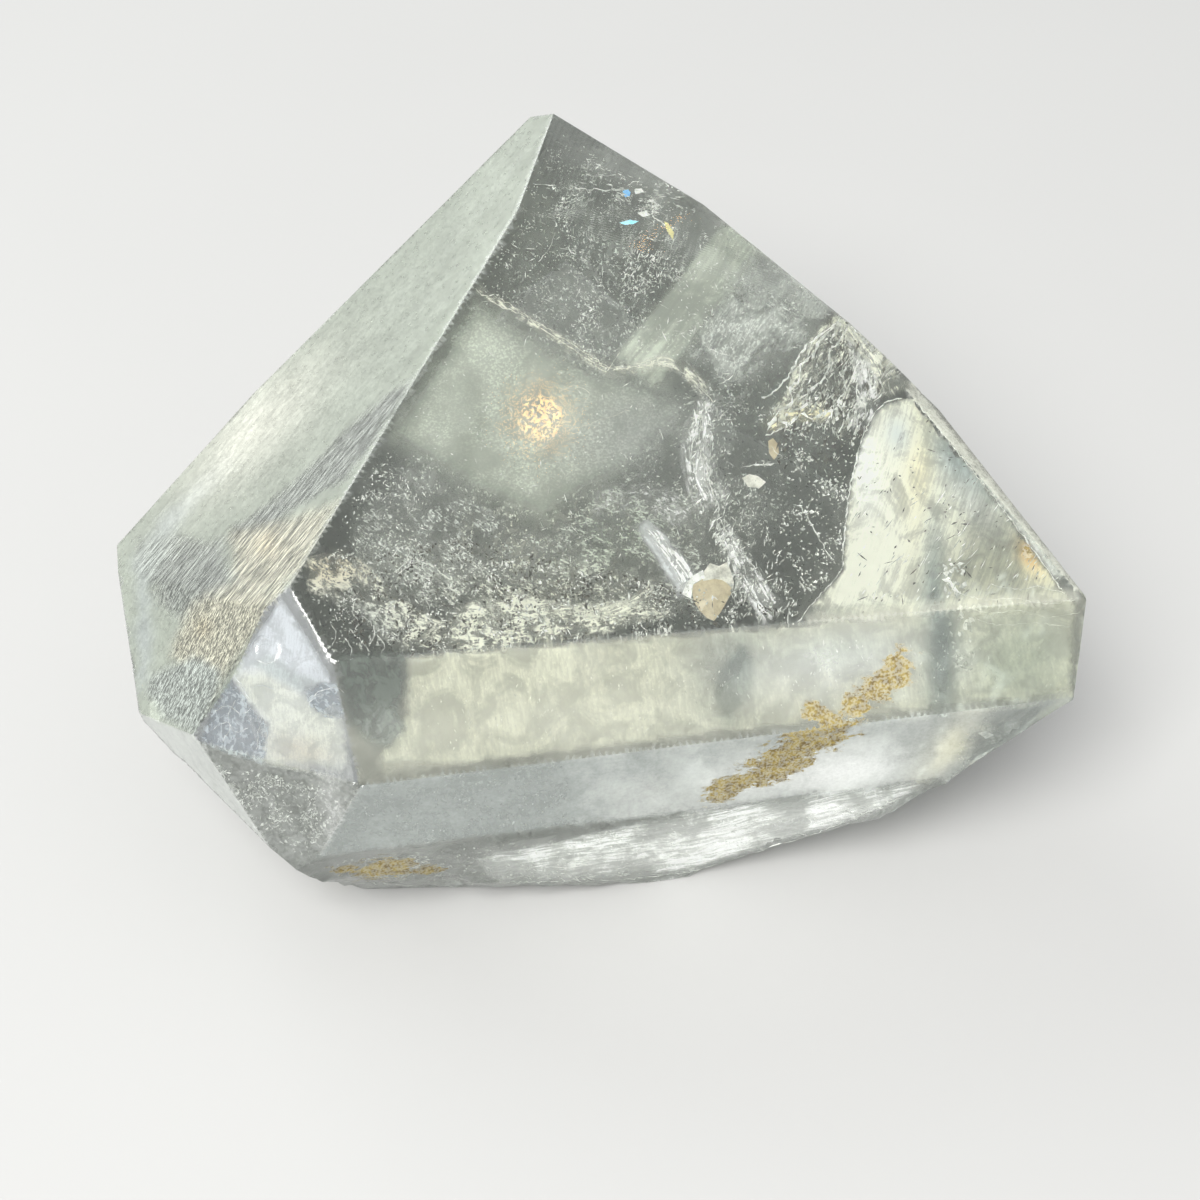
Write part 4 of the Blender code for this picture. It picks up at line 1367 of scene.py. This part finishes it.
# Threads: single crack lines and tubes, drawn one by one. Each group has a depth in mm, and is white if it has no
# tone; each thread is a width in pixels and a line of spots.
threads = {
    "apexLines": {"depth": 0.5, "lines": [
        (1.3, [(533, 184), (545, 184), (556, 186)]), (1.2, [(574, 187), (592, 189), (616, 190)]),
        (1.4, [(596, 175), (606, 176), (617, 175)]), (1.6, [(645, 214), (655, 218), (666, 226)]),
        (1.2, [(662, 178), (672, 182), (682, 190)]), (1.0, [(640, 262), (634, 272), (627, 284)]),
        (1.0, [(676, 238), (660, 240), (644, 238)]), (0.9, [(556, 232), (548, 250), (538, 262)]),
    ]},
    "wispLines": {"depth": 1.5, "tone": "cream", "lines": [
        (1.4, [(474, 288), (500, 306), (524, 316), (548, 333), (572, 348), (596, 364), (616, 369)]),
        (1.1, [(500, 298), (530, 318), (560, 336), (590, 356), (610, 368)]),
        (1.2, [(612, 370), (640, 366), (664, 364), (684, 374), (706, 394), (714, 402)]),
        (0.9, [(560, 392), (575, 386), (590, 394), (584, 404)]), (0.8, [(576, 403), (586, 402), (594, 404)]),
        (0.8, [(620, 352), (612, 364), (606, 372)]), (0.8, [(545, 440), (590, 424), (630, 410)]),
    ]},
    "fallLines": {"depth": 1.9, "lines": [
        (1.8, [(712, 402), (703, 420), (699, 440), (702, 462), (708, 482)]),
        (1.3, [(706, 410), (696, 432), (692, 452), (698, 474)]),
        (1.4, [(704, 470), (716, 500), (722, 524), (738, 548), (752, 566)]),
        (1.2, [(722, 540), (740, 560), (752, 590), (766, 614)]), (1.5, [(736, 548), (758, 572), (772, 600)]),
        (2.6, [(742, 467), (756, 465), (770, 464), (781, 463)]),
        (1.6, [(800, 505), (812, 526), (824, 546), (832, 561)]), (1.0, [(730, 560), (726, 580), (736, 604)]),
    ]},
    "crackLines": {"depth": 1.2, "lines": [
        (4.6, [(842, 316), (830, 330), (819, 340), (812, 356), (801, 364),
               (799, 380), (790, 388), (792, 402), (780, 410), (768, 426)]),
        (3.2, [(838, 322), (822, 334), (806, 346), (796, 362), (788, 376), (776, 390), (762, 398)]),
        (3.5, [(848, 322), (840, 340), (830, 350), (828, 368), (820, 382), (808, 392), (806, 404), (790, 412)]),
        (4.3, [(768, 430), (776, 420), (790, 424), (800, 414), (812, 418), (828, 412), (846, 406)]),
        (2.9, [(766, 436), (780, 430), (798, 430), (812, 424)]),
        (4.1, [(852, 326), (864, 342), (858, 356), (866, 372), (856, 388), (858, 402), (848, 414), (850, 428)]),
        (3.5, [(864, 336), (876, 352), (870, 366), (876, 382), (864, 398), (866, 412), (856, 430), (852, 446)]),
        (3.2, [(846, 346), (852, 360), (842, 374), (846, 390), (838, 402), (844, 418), (838, 434)]),
        (2.6, [(880, 352), (888, 366), (880, 380), (884, 392), (872, 402)]),
        (1.7, [(844, 310), (866, 326), (886, 346), (902, 368)]),
        (1.3, [(850, 312), (872, 324), (892, 342), (908, 362)]),
        (1.1, [(705, 345), (716, 352), (734, 358), (732, 376), (718, 384)]),
        (1.0, [(770, 440), (774, 452), (788, 458)]), (1.4, [(812, 340), (806, 360), (792, 372)]),
    ]},
    "squiggles": {"depth": 0.9, "lines": [
        (1.4, [(392, 556), (402, 546), (410, 552), (404, 564), (394, 572)]),
        (1.2, [(398, 574), (408, 566), (412, 556)]),
        (1.5, [(352, 612), (358, 622), (354, 634), (362, 642), (370, 652)]),
        (1.3, [(362, 616), (372, 624), (374, 636), (368, 646)]), (1.1, [(344, 638), (352, 648), (350, 658)]),
        (1.2, [(376, 634), (384, 644), (380, 654)]), (1.0, [(420, 596), (430, 606), (426, 616), (436, 624)]),
        (1.0, [(330, 622), (336, 634), (332, 646)]),
    ]},
    "rimLines": {"depth": 0.35, "lines": [
        (2.2, [(902, 398), (885, 403), (872, 417), (862, 439), (855, 465), (848, 500), (844, 540), (842, 568)]),
        (1.6, [(842, 568), (830, 584), (812, 604), (798, 622)]),
        (1.8, [(914, 398), (950, 444), (985, 487), (1020, 532), (1062, 590)]),
    ]},
    "footLines": {"depth": 0.15, "lines": [
        (0.9, [(958, 592), (985, 600), (1015, 598), (1045, 604), (1076, 600)]),
        (0.8, [(965, 606), (990, 613), (1020, 611), (1050, 617), (1080, 612)]),
        (0.8, [(975, 619), (1000, 625), (1035, 623), (1070, 627)]),
        (0.7, [(990, 584), (1015, 589), (1040, 587), (1066, 593)]),
    ]},
    "kiteRing": {"depth": 0.05, "lines": [
        (1.5, [(276, 645), (278, 652), (274, 660), (265, 663), (257, 660)]),
        (0.8, [(270, 639), (262, 638), (255, 643), (253, 650)]),
    ]},
    "kiteRingShade": {"depth": 0.05, "tone": "slate", "lines": [
        (1.2, [(254, 657), (251, 649), (254, 641), (262, 636), (271, 638)]),
        (1.0, [(259, 655), (258, 648), (263, 643), (270, 645)]),
        (0.8, [(312, 712), (310, 704), (314, 697), (322, 694)]), (0.7, [(246, 690), (262, 686), (276, 690)]),
    ]},
    "kiteVeins": {"depth": 0.05, "lines": [
        (1.4, [(232, 673), (240, 684), (250, 700)]), (1.2, [(214, 712), (228, 706), (240, 714), (252, 708)]),
        (1.0, [(212, 730), (226, 722), (236, 732), (248, 728)]),
        (1.0, [(222, 742), (230, 728), (228, 714), (236, 700)]),
        (1.3, [(308, 708), (316, 694), (332, 688), (344, 692)]), (0.9, [(262, 715), (258, 734), (256, 752)]),
    ]},
    "bottomRim": {"depth": 0.08, "lines": [
        (1.8, [(372, 883), (440, 886), (520, 882), (600, 881), (680, 873), (760, 855), (830, 828), (900, 798)]),
    ]},
    "undersideLines": {"depth": 0.2, "lines": [
        (1.6, [(560, 864), (620, 854), (680, 842), (740, 828)]),
        (1.4, [(600, 872), (660, 860), (720, 846), (790, 826)]), (1.2, [(640, 842), (700, 832), (760, 822)]),
        (1.5, [(700, 838), (760, 826), (820, 814), (880, 804)]),
    ]},
}

threadShape = {"step": 3, "thickness": 0.40, "wander": 0.55, "wave": 0.08, "waveSize": 20, "tip": 0.15, "thin": 0.2,
               "thick": 1.35, "sides": (0.0, 2.094, 4.189)}


def threadMesh(name, plan, seed):
    draw = np.random.default_rng(seed)
    shape = threadShape
    verts, faces, shades = [], [], []
    for width, line in plan["lines"]:
        radius = shape["thickness"] * width / pixelsPerMm * mm
        points = []
        for x, y in smoothLine(line, shape["step"]):
            spot = (x + draw.normal() * shape["wander"], y + draw.normal() * shape["wander"])
            if onSkin(spot)[0] is not None:
                wave = shape["wave"] * noise.noise(Vector((x, y, 0)) / shape["waveSize"])
                points.append(inside(spot, plan["depth"] + wave))
        first = len(verts)
        for i, point in enumerate(points):
            along = (points[min(i + 1, len(points) - 1)] - points[max(i - 1, 0)]).normalized()
            side = along.orthogonal().normalized()
            atEnd = i in (0, len(points) - 1)
            thick = radius * (shape["tip"] if atEnd else draw.uniform(shape["thin"], shape["thick"]))
            for turn in shape["sides"]:
                verts.append(point + (side * math.cos(turn) + along.cross(side) * math.sin(turn)) * thick)
            shades.extend([draw.uniform(0.2, 1.0)] * 3)
        for i in range(len(points) - 1):
            for k in range(3):
                a, b = first + 3 * i + k, first + 3 * i + (k + 1) % 3
                faces.append((a, b, b + 3, a + 3))
        last = first + 3 * (len(points) - 1)
        faces.append((first + 2, first + 1, first))
        faces.append((last, last + 1, last + 2))
    return shadedMesh(name, verts, faces, shades)


for seed, (name, plan) in enumerate(threads.items(), start=101):
    addPiece(name, threadMesh(name, plan, seed), inclusionMaterials[plan.get("tone", "white")])
print("threads drawn:", sum(len(plan["lines"]) for plan in threads.values()))

# Shards: single flat splinters with their own outline, thickness in mm and tone, white if it isn't given.
shards = {
    "tanCrystal": {"outline": [(691, 586), (703, 579), (716, 577), (725, 579), (732, 586), (731, 594), (727, 601),
                               (721, 612), (714, 621), (707, 618), (700, 611), (694, 602)], "depth": 1.3,
                               "thick": 0.40, "tone": "tan"},
    "tanCap": {"outline": [(703, 581), (704, 571), (710, 563), (719, 566), (727, 562), (731, 571), (734, 582),
                           (733, 590), (728, 584), (722, 580), (714, 579)], "depth": 1.2, "thick": 0.12,
                           "tone": "cream"},
    "tanFringe": {"outline": [(682, 594), (686, 583), (694, 575), (703, 570), (705, 578), (696, 582), (690, 588),
                              (691, 599)],
                  "depth": 1.2, "thick": 0.10},
    "brownFleck": {"outline": [(768, 441), (773, 438), (778, 444), (779, 453), (774, 460), (769, 453)], "depth": 1.2,
                   "thick": 0.06, "tone": "tan"},
    "paleLump": {"outline": [(742, 478), (749, 474), (758, 476), (766, 482), (760, 488), (748, 487)], "depth": 1.2,
                 "thick": 0.10, "tone": "cream"},
    "blueFleck": {"outline": [(623, 191), (628, 189), (631, 192), (630, 196), (625, 197)],
                  "depth": 0.5, "thick": 0.04, "tone": "blue"},
    "blueWhite": {"outline": [(634, 189), (642, 188), (644, 192), (636, 194)], "depth": 0.5, "thick": 0.04},
    "cyanFleck": {"outline": [(619, 223), (629, 220), (639, 221), (634, 224), (624, 225)], "depth": 0.5,
                  "thick": 0.04, "tone": "cyan"},
    "whiteFleck": {"outline": [(637, 213), (646, 211), (651, 215), (643, 217)], "depth": 0.5, "thick": 0.04},
    "oliveFleck": {"outline": [(664, 221), (668, 223), (674, 232), (673, 240), (667, 231)], "depth": 0.5,
                   "thick": 0.04, "tone": "olive"},
    "slopeChip": {"outline": [(150, 702), (162, 700), (166, 712), (158, 722), (150, 716)], "depth": 0.25,
                  "thick": 0.04},
    "wallFleck": {"outline": [(978, 733), (986, 731), (994, 735), (986, 739)], "depth": 0.2, "thick": 0.04},
}


def shardMesh(name, plan, seed):
    draw = np.random.default_rng(seed)
    outline, depth, thick = plan["outline"], plan["depth"], plan["thick"]
    count = len(outline)
    centre = (sum(s[0] for s in outline) / count, sum(s[1] for s in outline) / count)
    verts, faces = [], []
    for layer, share in ((0.0, 1.0), (1.0, 0.82)):
        for spot in outline:
            x, y = centre[0] + (spot[0] - centre[0]) * share, centre[1] + (spot[1] - centre[1]) * share
            verts.append(inside((x, y), depth + thick * (layer + 0.4 * draw.uniform())))
    verts.append(inside(centre, depth - 0.3 * thick))
    verts.append(inside(centre, depth + 1.5 * thick))
    for i in range(count):
        k = (i + 1) % count
        faces.append((i, k, 2 * count))
        faces.append((count + k, count + i, 2 * count + 1))
        faces.append((k, i, count + i, count + k))
    return shadedMesh(name, verts, faces, draw.uniform(0.35, 1.0, len(verts)).tolist())


for seed, (name, plan) in enumerate(shards.items(), start=201):
    addPiece(name, shardMesh(name, plan, seed), inclusionMaterials[plan.get("tone", "white")])
print("shards placed:", len(shards))

# The set: a pale table, a broad cool light behind on the left, a soft fill, and one small warm lamp overhead.
studio = {"tableSize": 3000.0, "tableColor": (0.43, 0.43, 0.425), "tableDrop": 0.06, "worldColor": (0.58, 0.59, 0.60)}
lights = {
    "backLeftWindow": {"place": (-420, 380, 330), "size": (420, 340), "power": 1.75, "color": (0.97, 1.0, 0.98)},
    "frontFill": {"place": (-150, -330, 480), "size": (320, 320), "power": 5.8, "color": (1.0, 0.99, 0.97)},
}
lightTarget = (0, 0, 8)
lamp = {
    "spot": (540, 418),
    "distance": 500.0,
    "target": (0, 0, 10),
    "width": 11.5,
    "power": 0.0068,
    "color": (1.0, 0.56, 0.17),
}


def makeTable():
    bm = bmesh.new()
    bmesh.ops.create_grid(bm, x_segments=8, y_segments=8, size=studio["tableSize"] / 2 * mm)
    mesh = bpy.data.meshes.new("table")
    bm.to_mesh(mesh)
    bm.free()
    table = bpy.data.objects.new("table", mesh)
    table.location.z = -studio["tableDrop"] * mm
    bpy.context.scene.collection.objects.link(table)
    material, tree, shader = newMaterial("paleTable")
    tone = noiseNode(tree, objectSpace(tree), 50.0, 3.0)
    pale = studio["tableColor"]
    color = mixColors(tree, tone, tuple(0.97 * c for c in pale), tuple(1.03 * c for c in pale))
    tree.links.new(color, shader.inputs["Base Color"])
    shader.inputs["Roughness"].default_value = 0.8
    mesh.materials.append(material)


def makeWorld():
    world = bpy.data.worlds.new("studioWorld")
    world.use_nodes = True
    world.node_tree.nodes["Background"].inputs[0].default_value = (*studio["worldColor"], 1.0)
    bpy.context.scene.world = world


def areaLight(name, place, target, size, power, color, shape="RECTANGLE"):
    data = bpy.data.lights.new(name, "AREA")
    data.shape = shape
    data.size = size[0] * mm
    data.size_y = size[1] * mm
    data.energy = power
    data.color = color
    light = bpy.data.objects.new(name, data)
    light.location = Vector(place) * mm
    light.rotation_euler = (Vector(target) - Vector(place)).to_track_quat("-Z", "Y").to_euler()
    bpy.context.scene.collection.objects.link(light)


def lampPlace():
    # where the lamp has to hang for the roof to mirror it at its spot
    point, normal = onSkin(lamp["spot"])
    sight = sightLine(lamp["spot"])
    mirrored = sight - normal * 2.0 * sight.dot(normal)
    return (point + mirrored * lamp["distance"] * mm) / mm


makeTable()
makeWorld()
for name, light in lights.items():
    areaLight(name, light["place"], lightTarget, light["size"], light["power"], light["color"])
areaLight("warmLamp", lampPlace(), lamp["target"], (lamp["width"],) * 2, lamp["power"], lamp["color"], "DISK")
bpy.context.scene.view_settings.view_transform = "Standard"
print("studio lit")
